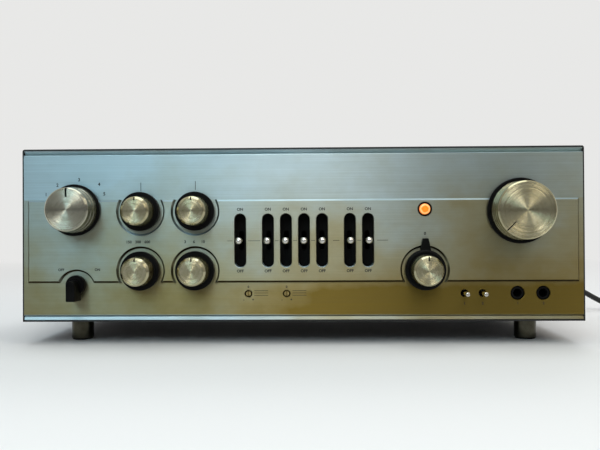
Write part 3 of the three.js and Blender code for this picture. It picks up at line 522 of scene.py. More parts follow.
def brushed_panel():
    """Aluminium brushed from side to side, with a painted cool sheen at the top left and colour that darkens
    below right, partly stain and partly painted shade
    """
    finish = Finish("brushed_panel")
    x, y, z = finish.split(finish.place())
    patches = finish.noise((90, 60, 60), 4, 0.55)
    spots = finish.noise((16, 14, 14), 5, 0.6)
    lines = finish.noise((140, 3, 0.45), 3, 0.6)
    across = finish.spread(x, -240, 240)
    down = finish.spread(z, 165, 25)
    below = finish.spread(z, 85, 30)
    raised = finish.spread(z, 127, 126)  # all below the top of the raised field
    # The bottom rim is painted clean and cool: a painted highlight where it faces up into the light
    rim = finish.spread(z, 27.6, 26.6)
    handled = (patches - 0.5) * 0.75 + (spots - 0.5) * 0.12
    upward = finish.split(finish.node("TexCoord", output="Normal"))[2]
    facing_up = finish.spread(upward, 0.2, 0.55)
    middle_low = finish.spread(x, -110, 30) * finish.spread(z, 58, 46)
    # Faces that look up, above the lower strip, are painted lighter: a painted highlight
    painted_highlight_edge = facing_up * finish.spread(z, 50, 51)
    left_edge = finish.spread(x, -196, -230) * raised
    # The ramp's cool end at the top left, the bottom rim and the up-facing edges are painted sheen and
    # highlight; its brown end to the right and below is partly stain, partly painted shade
    stain_and_light = across * 0.28 + down * 0.34 + below * 0.16 + raised * 0.12 + middle_low * 0.27
    stain_and_light = stain_and_light + left_edge * 0.2 + handled - rim * 0.6 - painted_highlight_edge * 0.5
    colour = finish.ramp(stain_and_light, PANEL_STAIN_AND_SHEEN)
    streaked = finish.mix(finish.spread(lines, 0.3, 0.7, 0, 0.14), colour, tone(0.36, 0.34, 0.28))
    # Faces that look down, on and behind the raised field, are painted dark brown: painted shade under its
    # edges and round its notches
    facing_down = finish.spread(upward, -0.2, -0.55)
    behind_field = finish.spread(y, RAISED + 0.02, RAISED + 0.12)
    on_step = behind_field * finish.spread(z, 50, 51) * finish.spread(z, 131, 130)
    painted_underside_shade = finish.mix(facing_down * on_step, streaked, tone(0.2, 0.165, 0.09))
    grain = finish.noise((60, 2, 0.16), 2, 0.7)
    tilt = (grain - 0.5) * 0.3
    world_normal = finish.node("NewGeometry", output="Normal")
    brushed = finish.vector("NORMALIZE", finish.vector("ADD", world_normal, finish.joined(0.0, 0.0, tilt)))
    return finish.set(
        Base_Color=painted_underside_shade, Metallic=0.96, Roughness=finish.spread(spots + lines, 0.7, 1.3, 0.4, 0.5),
        Anisotropic=0.9, Anisotropic_Rotation=0.25, Normal=brushed,
    )


def spun_metal(name, x, z, fresh, worn, amount, smooth):
    """Aluminium turned about an axis along Y, with its rings in the surface's slope

    The sloped rim of a knob is polished: its rings lean less and it is smoother.
    """
    finish = Finish(name)
    px, py, pz = finish.split(finish.place((x, 0, z)))
    radius = (px * px + pz * pz) ** 0.5
    outward = finish.vector("NORMALIZE", finish.joined(px, 0.0, pz))
    normal = finish.node("TexCoord", output="Normal")
    around = finish.vector("CROSS_PRODUCT", (0, 1, 0), outward)
    over = finish.vector("CROSS_PRODUCT", around, normal)
    groove, ring = 0.045, 0.9  # widths of a fine groove and of a ring of them
    grain = finish.noise_at(finish.joined(radius / groove, py / groove, 0.0), 1, 0.6)
    rings = finish.noise_at(finish.joined(radius / ring, py / ring, 4.0), 3, 0.6)
    facing = 0 - finish.split(normal)[1]
    polish = finish.spread(facing, 0.45, 0.6) * finish.spread(facing, 0.94, 0.86)
    slope = (grain - 0.5) * amount * (1 - polish * 0.85)
    lean = finish.vector("MULTIPLY", over, finish.joined(slope, slope, slope))
    object_normal = finish.vector("NORMALIZE", finish.vector("ADD", normal, lean))
    world = finish.node(
        "VectorTransform", {"vector_type": "NORMAL", "convert_from": "OBJECT", "convert_to": "WORLD"},
        {0: object_normal},
    )
    grime = finish.noise(9, 4, 0.6)
    share = finish.spread(rings * 0.5 + grime * 0.5, 0.4, 0.75)
    return finish.set(
        Base_Color=finish.mix(share, fresh, worn), Metallic=1.0,
        Roughness=finish.spread(rings, 0.3, 0.7, smooth, smooth + 0.06) - polish * 0.06, Normal=world,
    )


def plain_metal(name, light, dark, roughness, grain=3, depth=0.02):
    finish = Finish(name)
    cloud = finish.noise(14, 4, 0.6)
    fine = finish.noise(grain, 3, 0.6)
    return finish.set(
        Base_Color=finish.mix(finish.spread(cloud * 0.6 + fine * 0.4, 0.35, 0.65), light, dark),
        Metallic=1.0, Roughness=finish.spread(fine, 0.3, 0.7, *roughness),
        Normal=finish.bump(fine, depth, 0.5),
    )


def moulded(name, colour, worn, roughness, grain, depth, gloss=0.5):
    """Moulded plastic, rubber or paint with a fine skin and a little handling wear"""
    finish = Finish(name)
    cloud = finish.noise(18, 4, 0.6)
    skin = finish.noise(grain, 2, 0.6)
    return finish.set(
        Base_Color=finish.mix(finish.spread(cloud, 0.42, 0.72), colour, worn),
        Roughness=finish.spread(cloud * 0.6 + skin * 0.4, 0.35, 0.65, *roughness),
        Specular_IOR_Level=gloss, Normal=finish.bump(skin, depth, 0.6),
    )


def laminate():
    """Brown board with a pattern of darker copper tracks showing through"""
    finish = Finish("board_laminate")
    cells = finish.node("TexVoronoi", {"feature": "DISTANCE_TO_EDGE"}, {
        "Vector": finish.place(size=(9, 7, 40)), "Scale": 1.0, "Randomness": 0.85,
    })
    tracks = finish.spread(cells, 0.08, 0.12)
    fibres = finish.noise((4, 0.6, 0.6), 3, 0.6)
    bare = finish.mix(fibres, tone(0.5, 0.36, 0.17), tone(0.43, 0.29, 0.12))
    return finish.set(
        Base_Color=finish.mix(tracks, bare, tone(0.36, 0.27, 0.13)),
        Roughness=finish.spread(fibres, 0.3, 0.7, 0.35, 0.6),
    )


def amber():
    """A clear amber dome, lit from behind at its middle"""
    finish = Finish("amber_lens")
    x, y, z = finish.split(finish.place((BALANCE_X, 0, LAMP_Z)))
    radius = (x * x + z * z) ** 0.5
    glow = finish.noise(1.6, 2, 0.5)
    middle, edge = 0.6, 4.6
    share = finish.spread(radius + (glow - 0.5) * 1.2, middle, edge)
    colour = finish.ramp(share, [
        (0.0, tone(1.0, 0.47, 0.1)),
        (0.45, tone(1.0, 0.42, 0.07)),
        (0.8, tone(1.0, 0.68, 0.4)),
        (1.0, tone(0.78, 0.4, 0.14)),
    ])
    return finish.set(
        Base_Color=colour, Roughness=finish.spread(glow, 0.3, 0.7, 0.12, 0.2), Emission_Color=colour,
        Emission_Strength=0.85,
    )


# Fresh and worn colours of the spun knobs
SPUN = tone(0.73, 0.725, 0.66), tone(0.62, 0.605, 0.51)
OLIVE = tone(0.76, 0.735, 0.61), tone(0.62, 0.585, 0.44)
STRAW = tone(0.79, 0.765, 0.64), tone(0.66, 0.625, 0.46)

# Light and dark colour, range of roughness, and for some the grain and the depth of its bumps
METALS = {
    "chrome": (tone(0.93, 0.92, 0.9), tone(0.84, 0.82, 0.78), (0.06, 0.14), 2, 0.003),
    "steel": (tone(0.72, 0.73, 0.73), tone(0.6, 0.61, 0.6), (0.32, 0.5), (2, 2, 6)),
    "bright_metal": (tone(0.78, 0.77, 0.73), tone(0.66, 0.64, 0.58), (0.2, 0.34)),
    # The feet's nickel is given a dark colour in place of its own light one: a painted dark reflection
    "nickel": (tone(0.31, 0.3, 0.26), tone(0.23, 0.22, 0.18), (0.1, 0.17), 5, 0.001),
    "screw_brass": (tone(0.8, 0.73, 0.5), tone(0.68, 0.6, 0.38), (0.42, 0.52)),
    "spun_aluminium": (*SPUN, (0.2, 0.3)),
}
# Colour, worn colour, range of roughness, grain, depth of its bumps, and for some the gloss
MOULDINGS = {
    "black_plastic": (tone(0.02, 0.02, 0.02), tone(0.04, 0.038, 0.035), (0.32, 0.5), 0.5, 0.03, 0.1),
    "black_paint": (tone(0.08, 0.08, 0.082), tone(0.1, 0.1, 0.1), (0.42, 0.55), 0.35, 0.05),
    "cord_rubber": (tone(0.07, 0.07, 0.07), tone(0.12, 0.12, 0.115), (0.5, 0.7), 0.8, 0.04),
    "ink": (tone(0.05, 0.05, 0.05), tone(0.14, 0.135, 0.12), (0.5, 0.7), 0.3, 0.004),
    "pale_ink": (tone(0.72, 0.72, 0.7), tone(0.6, 0.6, 0.57), (0.5, 0.7), 0.3, 0.004),
    "white_insulator": (tone(0.82, 0.81, 0.77), tone(0.7, 0.68, 0.62), (0.3, 0.45), 0.8, 0.01),
    "red_insulator": (tone(0.62, 0.09, 0.07), tone(0.45, 0.06, 0.05), (0.3, 0.45), 0.8, 0.01),
    "gasket": (tone(0.025, 0.025, 0.025), tone(0.04, 0.04, 0.04), (0.6, 0.8), 0.6, 0.02, 0.1),
}
finishes = {"brushed_panel": brushed_panel(), "board_laminate": laminate(), "amber_lens": amber()}
finishes.update({name: plain_metal(name, *values) for name, values in METALS.items()})
finishes.update({name: moulded(name, *values) for name, values in MOULDINGS.items()})


def dress(piece, finish, *stands_for, body="case", slot=None):
    """Gives a piece its finish and its body, and hides the nodes of the part that it stands for; slot is not
    used
    """
    piece.data.materials.clear()
    piece.data.materials.append(finishes[finish] if isinstance(finish, str) else finish)
    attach(piece, body)
    if stands_for:
        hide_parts(*stands_for)
    return piece


# Mains cord with its coil, tie, gland and plug

CORD_RADIUS = 3.15
COIL = Vector((414, 97.65, 3.2))  # middle of the coil's lower layer
COIL_OUTER = 48.725  # radius of its outermost turn
TURN_STEP = 6.9
LAYER_STEP = 6.8
COIL_TURNS = 6.5  # half of them inwards, half outwards on top
KNOTS_A_TURN = 24
CORD_ROUTE = [
    (201.3, 46, 77.6), (205.7, 54.3, 76.5), (213, 60.4, 74.8), (222.2, 63.6, 72.6), (233, 64, 70),
    (247, 62, 66.2), (262, 58.5, 61.5), (278, 54, 55.6), (293, 49.5, 49), (308, 45.5, 41.4),
    (322, 42, 33.6), (335, 39.4, 26), (346, 38, 19.6), (356, 37.2, 13.8), (366, 37, 8.9),
    (376, 37.4, 5.4), (387, 38.4, 3.6),
]


def coil_point(turns):
    """The cord's middle in the coil: it winds inwards, climbs, and winds outwards on top"""
    half = COIL_TURNS / 2
    inward, outward = min(turns, half), max(turns - half, 0)
    radius = COIL_OUTER - TURN_STEP * (inward - outward)
    share = min(max((turns - 3) / 0.5, 0), 1)
    climb = LAYER_STEP * share * share * (3 - 2 * share)
    angle = 2 * math.pi * turns
    return COIL + Vector((radius * math.sin(angle), radius * math.cos(angle), climb))


def mains_cord():
    """The cord from its gland down to the table, through its coil and to its plug"""
    start = Vector((GLAND_X, REAR + 30.3, GLAND_Z))
    points = [start, start + Vector((0, 6.3, 0))]
    points += [Vector((x, REAR + behind, z)) for x, behind, z in CORD_ROUTE]
    points.append(COIL + Vector((-12.6, COIL_OUTER, 0)))
    points += [coil_point(i / KNOTS_A_TURN) for i in range(int(COIL_TURNS * KNOTS_A_TURN) + 1)]
    points.append(coil_point(COIL_TURNS) + Vector((-6.4, 0, 0)))
    clear()
    bpy.ops.curve.primitive_bezier_curve_add()
    cord = named("mains_lead")
    spline = cord.data.splines[0]
    spline.bezier_points.add(len(points) - 2)
    for knot, point in zip(spline.bezier_points, points):
        knot.co = point * MM
        knot.handle_left_type = knot.handle_right_type = "AUTO"
    spline.resolution_u = 6
    cord.data.bevel_depth = CORD_RADIUS * MM
    cord.data.bevel_resolution = 5
    cord.data.use_fill_caps = True
    settle(cord)
    dress(cord, "cord_rubber", "mains_cord", "cord_coil")
    return cord, points


def cord_tie():
    """A flat band round the coil's turns, on the side away from the leads"""
    band = block("cord_tie", (436.5, 93, 0.1), (467.6, 102.5, 14.6))
    bevel_edges(band, lambda a, b: abs(a.y - b.y) > 5, 3.4, 5)
    pick(band, "FACE", lambda place, normal: abs(normal.y) > 0.9)
    bpy.ops.mesh.delete(type="FACE")
    leave()
    modify(band, "SOLIDIFY", thickness=0.9 * MM, offset=-1)
    buckle = block("buckle", (443, 92.2, 14.2), (450, 103.3, 16.2))
    united(band, soften(buckle, 0.6))
    return dress(shade(band), "black_plastic", slot="cord_rubber")


def strain_relief():
    """The gland's flange and a tapered boot with ribs"""
    profile = [
        (8.6, -7.2), (9, -6.8), (9, -1.6), (6, -1.5), (6, 0.3), (8.6, 0.3), (9, 0.8), (9, 2.9),
        (8.6, 3.3), (5.7, 3.3),
    ]
    ribs, rib_step = 6, 3.9
    for i in range(ribs):
        at = 5.2 + i * rib_step
        radius = 5.4 - 1.3 * (at - 3) / 27
        profile += [(radius, at), (radius - 0.75, at + 0.5), (radius - 0.75, at + 1.5), (radius, at + 2)]
    profile += [(4.15, 29.4), (3.9, 30)]
    boot = turned("strain_relief", profile, (GLAND_X, REAR, GLAND_Z), sides=40)
    return dress(shade(boot, 40), "cord_rubber", "cord_gland")


def mains_plug():
    """The plug lies before the coil, its two blades pointing to the left"""
    start, y, z = 407.4, 48.925, 10.0
    ribs, rib_step = 6, 4.6
    profile = [(3.6, 0), (3.9, 0.5)]
    for i in range(ribs):
        at = 2.5 + i * rib_step
        radius = 3.7 + 2.2 * at / 33
        profile += [
            (radius + 0.25, at), (radius - 0.6, at + 0.6), (radius - 0.6, at + 2), (radius + 0.3, at + 2.6),
        ]
    profile += [(5.6, 31), (6, 33), (6, 34)]
    boot = turned("plug_boot", [(r, -a) for r, a in profile], (start, y, z), "X", 40)
    face, end = start - 33, start - 59
    body = block("plug_body", (end, y - 12.5, 0.15), (face, y + 12.5, 19.85))
    pick(body, "FACE", lambda place, normal: normal.x > 0.9)
    bpy.ops.transform.resize(value=(1, 0.66, 0.72), center_override=(face * MM, y * MM, z * MM))
    leave()
    soften(body, 3.6, 5)
    cut(body, [
        block("grip", (face - 8 - along, y + near, z - 5.5), (face - 6.6 - along, y + far, z + 5.5))
        for near, far in ((-20, -10.6), (10.6, 20)) for along in (0, 3.6, 7.2, 10.8)
    ])
    plug = renamed(united(body, boot), "plug")
    dress(shade(plug, 40), "cord_rubber", "mains_plug")
    blades = []
    for side in (-PIN_OFFSET, PIN_OFFSET):
        blade = block("blade", (end - 16.5, y + side - 0.75, z - 3.15), (end + 4, y + side + 0.75, z + 3.15))
        bevel_edges(blade, lambda a, b: a.x < end - 16 and b.x < end - 16 and abs(a.y - b.y) > 1, 1.4, 3)
        soften(blade, 0.2)
        hole = turned("hole", [(1.5, -3), (1.5, 3)], (end - 12.5, y + side, z), "Y", 24)
        blades.append(cut(blade, [hole]))
    pins = shade(joined("plug_blades", blades))
    return [plug, dress(pins, "bright_metal")]


aim_camera()
lead, lead_points = mains_cord()
on_cord = [cord_tie(), *mains_plug()]
strain_relief()


# Front panel

def hole_tool(radius, x, z, front, chamfer=0.0, sides=48):
    """A turned cutter for a hole through the front, with a chamfer where one is given"""
    mouth = radius + chamfer + 1
    profile = [(radius, FACE + 12), (radius, front + max(chamfer, 0.01))]
    profile += [(mouth, front - 1)] if chamfer else [(radius, front - 3)]
    return turned("hole", profile, (x, 0, z), sides=sides)


def front_panel():
    """The thick plate with its sloped rims and its raised field, and all its openings"""
    low, high = UNDER + 1.5, TOP - 1.5
    section = [
        (8, low), (1, low), (0.8, low + 0.2), (1.5, low + 2.9), (1.8, low + 3.1), (3.4, low + 3.1),
        (3.4, low + 3.7), (1.2, low + 3.7), (0.35, low + 4.05), (0, low + 4.8),
        (0, high - 4.8), (0.35, high - 3.95), (1.2, high - 3.6), (3.4, high - 3.6), (0.8, high), (8, high),
    ]
    plate = drawn("panel_plate", [(FACE + depth, z) for depth, z in section], -PLATE, PLATE, "X")
    edge, bottom = PLATE - 4, UNDER + 34
    top = bottom + 71.3
    knob_notch, equaliser_notch, shaft_hole = 19.6, 15.5, 4.6
    outline = [(-edge, bottom), (edge, bottom), (edge, top), (-edge, top)]
    field = drawn("raised_field", outline, RAISED, FACE + 1)
    places = [(BASS_X, UPPER), (TREBLE_X, UPPER), (BASS_X, LOWER), (TREBLE_X, LOWER), (BALANCE_X, LOWER)]
    notches = [(knob_notch, x, z, 96) for x, z in places] + [(equaliser_notch, EQUALISER_X, UNDER + 28.6, 80)]
    cut(field, [
        turned("notch", [(radius, FACE + 4), (radius, RAISED - 3)], (x, 0, z), sides=sides)
        for radius, x, z, sides in notches
    ])
    bevel_edges(field, lambda a, b: a.y < RAISED + 0.01 and b.y < RAISED + 0.01, 1.5, 1)
    united(plate, field)
    slot_rings = [(0, FACE + 12), (0, RAISED + 0.35), (1.35, RAISED - 1)]
    first = round_slot("slot", (9.9, 46), slot_rings, (LEVER_XS[0], 0, LEVER_Z), sides=48)
    tools = [first] + [copied(first, "slot", (x - LEVER_XS[0], 0, 0)) for x in LEVER_XS[1:]]
    tools += [
        hole_tool(6.0 if x == BALANCE_X else shaft_hole, x, z, RAISED)
        for x, z in [(VOLUME_X, VOLUME_Z), (SELECTOR_X, SELECTOR_Z), (EQUALISER_X, EQUALISER_Z), *places]
    ]
    tools += [hole_tool(3.2, x, BASE, FACE, 0.25) for x in (*BUTTON_XS, *TRIMMER_XS)]
    tools += [hole_tool(5.9, x, BASE, FACE, 0.35, 64) for x in JACK_XS]
    tools.append(hole_tool(6.3, BALANCE_X, LAMP_Z, RAISED, sides=64))
    cut(plate, tools)
    trimmed(close_up(plate))
    renamed(plate, "brushed_front")
    return dress(shade(plate, 28), "brushed_panel", "front_panel")


front_panel()


# Knobs

def index_tool(radius, mark, x, z, front):
    """A box across a knob's rim for its index mark: width, inner end, depth and angle"""
    width, inner, depth, angle = mark
    tool = block("index", (-width / 2, front - 1, inner), (width / 2, front + depth, radius + 1))
    tool.rotation_euler = (0, math.radians(angle), 0)
    tool.location = (x * MM, 0, z * MM)
    return settle(tool)


def metal_knob(
    node, x, z, mark, colours, ring, ring_height, cap, face, height, lift, bands, bevel, lay=(3.2, 0.16),
):
    """A spun cap with a polished chamfer on a black base

    ring and ring_height give the base, cap and face the cap's radius behind and in front, lift the gap
    to the panel, bands the number of grooves, and lay how far the spun rings lean and how smooth they are.
    """
    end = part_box(node)[1].y / MM
    base = FACE - lift
    front = base - height
    shoulder = base - ring_height
    edge = front + bevel
    profile = [(2.6, end), (3, end - 0.4), (3, base - 0.6), (cap - 1.2, base - 0.6), (cap - 1.2, shoulder)]
    profile += [(cap - 0.25, shoulder), (cap, shoulder - 0.25)]
    for i in range(1, bands + 1):
        y = shoulder + (edge - shoulder) * i / (bands + 1)
        radius = face + (cap - face) * (y - edge) / (shoulder - edge)
        profile += [
            (radius, y + 0.55), (radius - 0.42, y + 0.32), (radius - 0.5, y),
            (radius - 0.42, y - 0.32), (radius, y - 0.55),
        ]
    flat = face - bevel
    profile += [
        (face, edge + 0.12), (face - 0.12, edge - 0.06), (flat + 0.1, front + 0.12), (flat - 0.05, front),
        (flat - 0.4, front), (flat - 0.52, front + 0.14), (flat - 0.7, front + 0.02), (0.5, front + 0.02),
    ]
    knob = turned(node + "_cap", profile, (x, 0, z), sides=96)
    cut(knob, [index_tool(face, mark, x, z, front)])
    finish = spun_metal(node + "_metal", x, z, *colours, *lay)
    dress(shade(knob, 30), finish, node, body=node, slot="spun_aluminium")
    lip = min(cap + 0.5, ring - 0.9)
    skirt = [
        (ring - 0.7, base), (ring, base - 0.5), (ring, shoulder + 0.6), (ring - 0.6, shoulder + 0.05),
        (lip, shoulder), (lip - 0.2, shoulder + 0.3), (cap - 1, shoulder + 0.3),
    ]
    base_ring = turned(node + "_base", skirt, (x, 0, z), sides=80)
    dress(shade(base_ring), "black_plastic", body=node)
    width, inner, depth, angle = mark
    inlay = index_tool(face - 1.4, (width - 0.08, inner + 0.1, depth - 0.1, angle), x, z, front + depth)
    cut(inlay, [block("trim", (-260, front - 3, 0), (260, front + depth - 0.22, 200))])
    renamed(inlay, node + "_index")
    dress(inlay, "gasket", body=node, slot="black_plastic")


VOLUME = dict(ring=28, ring_height=2.2, cap=25.2, face=24.3, height=20.5, lift=3, bands=3, bevel=1.1)
SELECTOR = dict(ring=22.3, ring_height=2.2, cap=20, face=18.5, height=20, lift=3, bands=2, bevel=1.1)
SMALL = dict(ring=16.8, ring_height=5.5, cap=12.7, face=12, height=21, lift=0.8, bands=0, bevel=1.7)
ATTENUATOR = dict(ring=13.6, ring_height=1.2, cap=13.2, face=12.5, height=14.5, lift=7.9, bands=0, bevel=1.5)
SMALL_MARK = (1.1, 8.6, 0.5, 0)
metal_knob("volume_knob", VOLUME_X, VOLUME_Z, (0.9, 13.5, 0.6, 225), OLIVE, **VOLUME)
metal_knob("selector_knob", SELECTOR_X, SELECTOR_Z, (1.6, 10.5, 0.7, 0), SPUN, **SELECTOR)
metal_knob("attenuator_knob", BALANCE_X, LOWER, SMALL_MARK, OLIVE, **ATTENUATOR)
for knob_name, knob_x, knob_z in (
    ("bass_knob", BASS_X, UPPER), ("treble_knob", TREBLE_X, UPPER),
    ("bass_turnover_knob", BASS_X, LOWER), ("treble_turnover_knob", TREBLE_X, LOWER),
):
    metal_knob(knob_name, knob_x, knob_z, SMALL_MARK, STRAW, lay=(3.4, 0.18), **SMALL)


def balance_ring():
    """The black ring round the attenuator knob, with its pointer"""
    base = FACE - 0.8
    front = base - 6.5
    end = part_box("balance_ring")[1].y / MM
    profile = [
        (4.4, end), (4.4, base - 1), (16.6, base), (17.3, base - 0.6), (17.3, front + 1.3),
        (17.05, front + 0.7), (16.2, front + 0.1), (15.9, front), (14.2, front), (13.9, front + 0.5),
        (6, front + 0.5),
    ]
    ring = turned("ring", profile, (BALANCE_X, 0, LOWER), sides=96)
    outline = [
        (-4.7, 11.4), (4.7, 11.4), (4.7, 16.1), (2.5, 26.6), (2.1, 27), (-2.1, 27), (-2.5, 26.6),
        (-4.7, 16.1),
    ]
    back = RAISED - 0.8
    tab = drawn("tab", [(BALANCE_X + x, LOWER + z) for x, z in outline], back - 3.4, back)
    soften(tab, 0.5)
    close_up(united(ring, tab))
    renamed(ring, "balance_collar")
    dress(shade(ring), "black_plastic", "balance_ring", body="balance_ring")


def bar_knob():
    """The black bar knob of the equaliser, its grip hanging down from a round skirt"""
    x, z = EQUALISER_X, EQUALISER_Z
    base = FACE - 0.8
    front = base - 16
    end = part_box("equaliser_knob")[1].y / MM
    skirt = [
        (3, end), (3, base - 1), (7.9, base), (8.4, base - 0.5), (8.4, base - 4.2), (7.9, base - 5),
        (4, base - 5.1),
    ]
    knob = turned("skirt", skirt, (x, 0, z), sides=64)
    outline = arc(x, z + 0.2, 4.4, 0, 180, 14)
    outline += [(x - 4.4, z - 12.8), (x - 3.8, z - 13.6), (x + 3.8, z - 13.6), (x + 4.4, z - 12.8)]
    grip = drawn("grip", outline, front, base - 2)
    pick(grip, "FACE", lambda place, normal: normal.y < -0.9)
    bpy.ops.transform.resize(value=(0.86, 1, 0.95), center_override=(x * MM, 0, (z - 4.5) * MM))
    leave()
    soften(grip, 0.7, 3)
    renamed(united(knob, grip), "bar_knob")
    dress(shade(knob), "black_plastic", "equaliser_knob", body="equaliser_knob")


balance_ring()
bar_knob()


# Lever switches, buttons, trimmers, jacks and pilot lamp

def lever(number, x):
    """A rod with a ball, turning about a hub behind the panel"""
    pivot = FACE + 24
    ball = FACE - 12.8
    profile = [(1.6, pivot - 3.7), (1.5, FACE), (1.15, ball + 3.1), (1.25, ball + 2.75)]
    angles = [math.radians(angle) for angle in range(32, 177, 12)]
    profile += [(3 * math.sin(angle), ball + 3 * math.cos(angle)) for angle in angles]
    profile += [(0.3, ball - 2.99)]
    handle = turned("handle", profile, (x, 0, LEVER_Z), sides=40)
    hub = turned("hub", [(3.6, -3), (4, -2.6), (4, 2.6), (3.6, 3)], (x, pivot, LEVER_Z), "X", 40)
    name = f"lever_{number}"
    renamed(handle, name + "_handle")
    renamed(hub, name + "_hub")
    dress(shade(handle, 40), "chrome", name, body=name)
    dress(shade(hub, 40), "gasket", body=name, slot="black_plastic")


def push_button(name, x):
    tip = FACE - 13
    profile = [
        (1.9, FACE + 26), (1.9, tip + 1), (1.8, tip + 0.45), (1.5, tip + 0.12), (1, tip), (0.4, tip - 0.02),
    ]
    button = turned(name + "_rod", profile, (x, 0, BASE), sides=40)
    dress(shade(button, 50), "chrome", name, body=name)


def trimmer(name, x):
    front = FACE + 0.4
    profile = [(2.2, FACE + 24), (2.2, front + 0.25), (1.95, front)]
    screw = turned(name + "_head", profile, (x, 0, BASE), sides=40)
    cut(screw, [block("slot", (x - 0.8, front - 1, BASE - 4), (x + 0.8, front + 4, BASE + 4))])
    dress(shade(screw), "screw_brass", name, body=name, slot="bright_metal")


def phone_jack(name, x):
    front = FACE + 1
    sleeve = [(5.6, FACE + 9), (5.6, front + 0.5), (5.2, front + 0.05), (4.8, front)]
    jack = turned(name + "_socket", sleeve, (x, 0, BASE), sides=64)
    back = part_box(name)[1].y / MM
    body = block("body", (x - 8.5, FACE + 8.3, BASE - 9), (x + 8.5, back, BASE + 9))
    united(jack, soften(body, 0.8))
    bore = [(3.3, FACE + 31), (3.3, front + 0.7), (3.65, front + 0.15), (4.2, front - 0.1), (4.6, front - 1)]
    cut(jack, [turned("bore", bore, (x, 0, BASE), sides=64)])
    dress(shade(jack, 30), "black_plastic", name)
    spring = block(name + "_spring", (x - 1, FACE + 16, BASE + 2.6), (x + 1, FACE + 24, BASE + 3.2))
    dress(soften(spring, 0.25), "bright_metal")


def pilot_lamp():
    front = RAISED - 0.5
    bezel_profile = [
        (6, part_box("lamp_bezel")[1].y / MM), (6, front + 0.5), (5.8, front + 0.1), (5.5, front),
        (5.1, front + 0.1), (4.9, front + 0.5), (4.9, FACE + 17),
    ]
    bezel = turned("lamp_ring", bezel_profile, (BALANCE_X, 0, LAMP_Z), sides=64)
    dress(shade(bezel), "black_plastic", "lamp_bezel")
    lens_profile = [(4.6, FACE + 16), (4.6, front + 0.15)]
    for i in range(1, 10):
        angle = math.radians(88 * i / 9)
        lens_profile.append((4.6 * math.cos(angle), front - 1.3 * math.sin(angle)))
    lens = turned("lamp_dome", lens_profile, (BALANCE_X, 0, LAMP_Z), sides=48)
    dress(shade(lens, 50), "amber_lens", "lamp_lens")


for i, lever_x in enumerate(LEVER_XS):
    lever(i + 1, lever_x)
for side, button_x, trimmer_x, jack_x in zip(("left", "right"), BUTTON_XS, TRIMMER_XS, JACK_XS):
    push_button(f"push_button_{side}", button_x)
    trimmer(f"trimmer_screw_{side}", trimmer_x)
    phone_jack(f"phone_jack_{side}", jack_x)
pilot_lamp()


# Generic marks printed on the front: scales, numbers and lines

def front_print():
    main, raised = FACE - 0.02, RAISED - 0.02
    lever_line = 90.7
    lines = [
        ((BASS_X, 134), (BASS_X, 141.5), 0.5, main),
        ((TREBLE_X, 135), (TREBLE_X, 142.5), 0.5, main),
    ]
    spans = [(left + 6, right - 6) for left, right in zip(LEVER_XS, LEVER_XS[1:]) if right - left < 17]
    spans += [(-63.5, -58.8), (-45.5, -35), (27.5, 33), (65.2, 74.5)]
    lines += [((start, lever_line), (end, lever_line), 0.4, raised) for start, end in spans]
    lines += [((x + 5, z), (x + 17, z), 0.4, main) for x in TRIMMER_XS for z in (47.6, 45.6, 43.6)]
    steps = ((-221.5, 131.5), (-211.5, 139.6), (-192.5, 144.2), (-175, 140.2), (-170.5, 131.8))
    words = [(str(i + 1), 4, x, z, main) for i, (x, z) in enumerate(steps)]
    low_notes = (("150", -148.6), ("300", -140.6), ("600", -132.6))
    high_notes = (("3", -99.8), ("6", -92.2), ("10", -84.4))
    words += [(number, 3.3, x, 90, raised) for number, x in low_notes + high_notes]
    for x in LEVER_XS:
        words += [("ON", 3.4, x, 117.6, raised), ("OFF", 3.4, x, 64.6, raised)]
    for x in TRIMMER_XS:
        words += [("0", 2.7, x, 50.8, main), ("-", 3.2, x - 4, 39.8, main), ("+", 3.2, x + 4, 39.8, main)]
    words += [("OFF", 3, -207.5, 66.2, raised), ("ON", 3, -176, 66.2, raised)]
    words.append(("0", 3.4, BALANCE_X, 96.2, raised))
    words += [(str(i + 1), 3, x, 36.2, main) for xs in (BUTTON_XS, JACK_XS) for i, x in enumerate(xs)]
    parts = [printed_line(*line) for line in lines] + [printed_words(*word) for word in words]
    dress(joined("front_print", parts), "ink", slot="black_plastic")


front_print()


# Case, rear fittings and feet

def screw_head(name, place, axis, radius=3.0, height=1.6, flip=1):
    """A pan head with a cross in it, standing out along an axis"""
    profile = [
        (radius - 0.1, 0), (radius, 0.25), (radius * 0.93, height * 0.6), (radius * 0.7, height * 0.9),
        (radius * 0.3, height),
    ]
    head = turned(name, [(r, a * flip) for r, a in profile], (0, 0, 0), "Z", 32)
    top = height * flip
    arms = [
        block("arm", (-radius * 0.6, -0.3, top - 0.9), (radius * 0.6, 0.3, top + 1)),
        block("arm", (-0.3, -radius * 0.6, top - 0.9), (0.3, radius * 0.6, top + 1)),
    ]
    cut(head, arms)
    return put(head, axis, place)


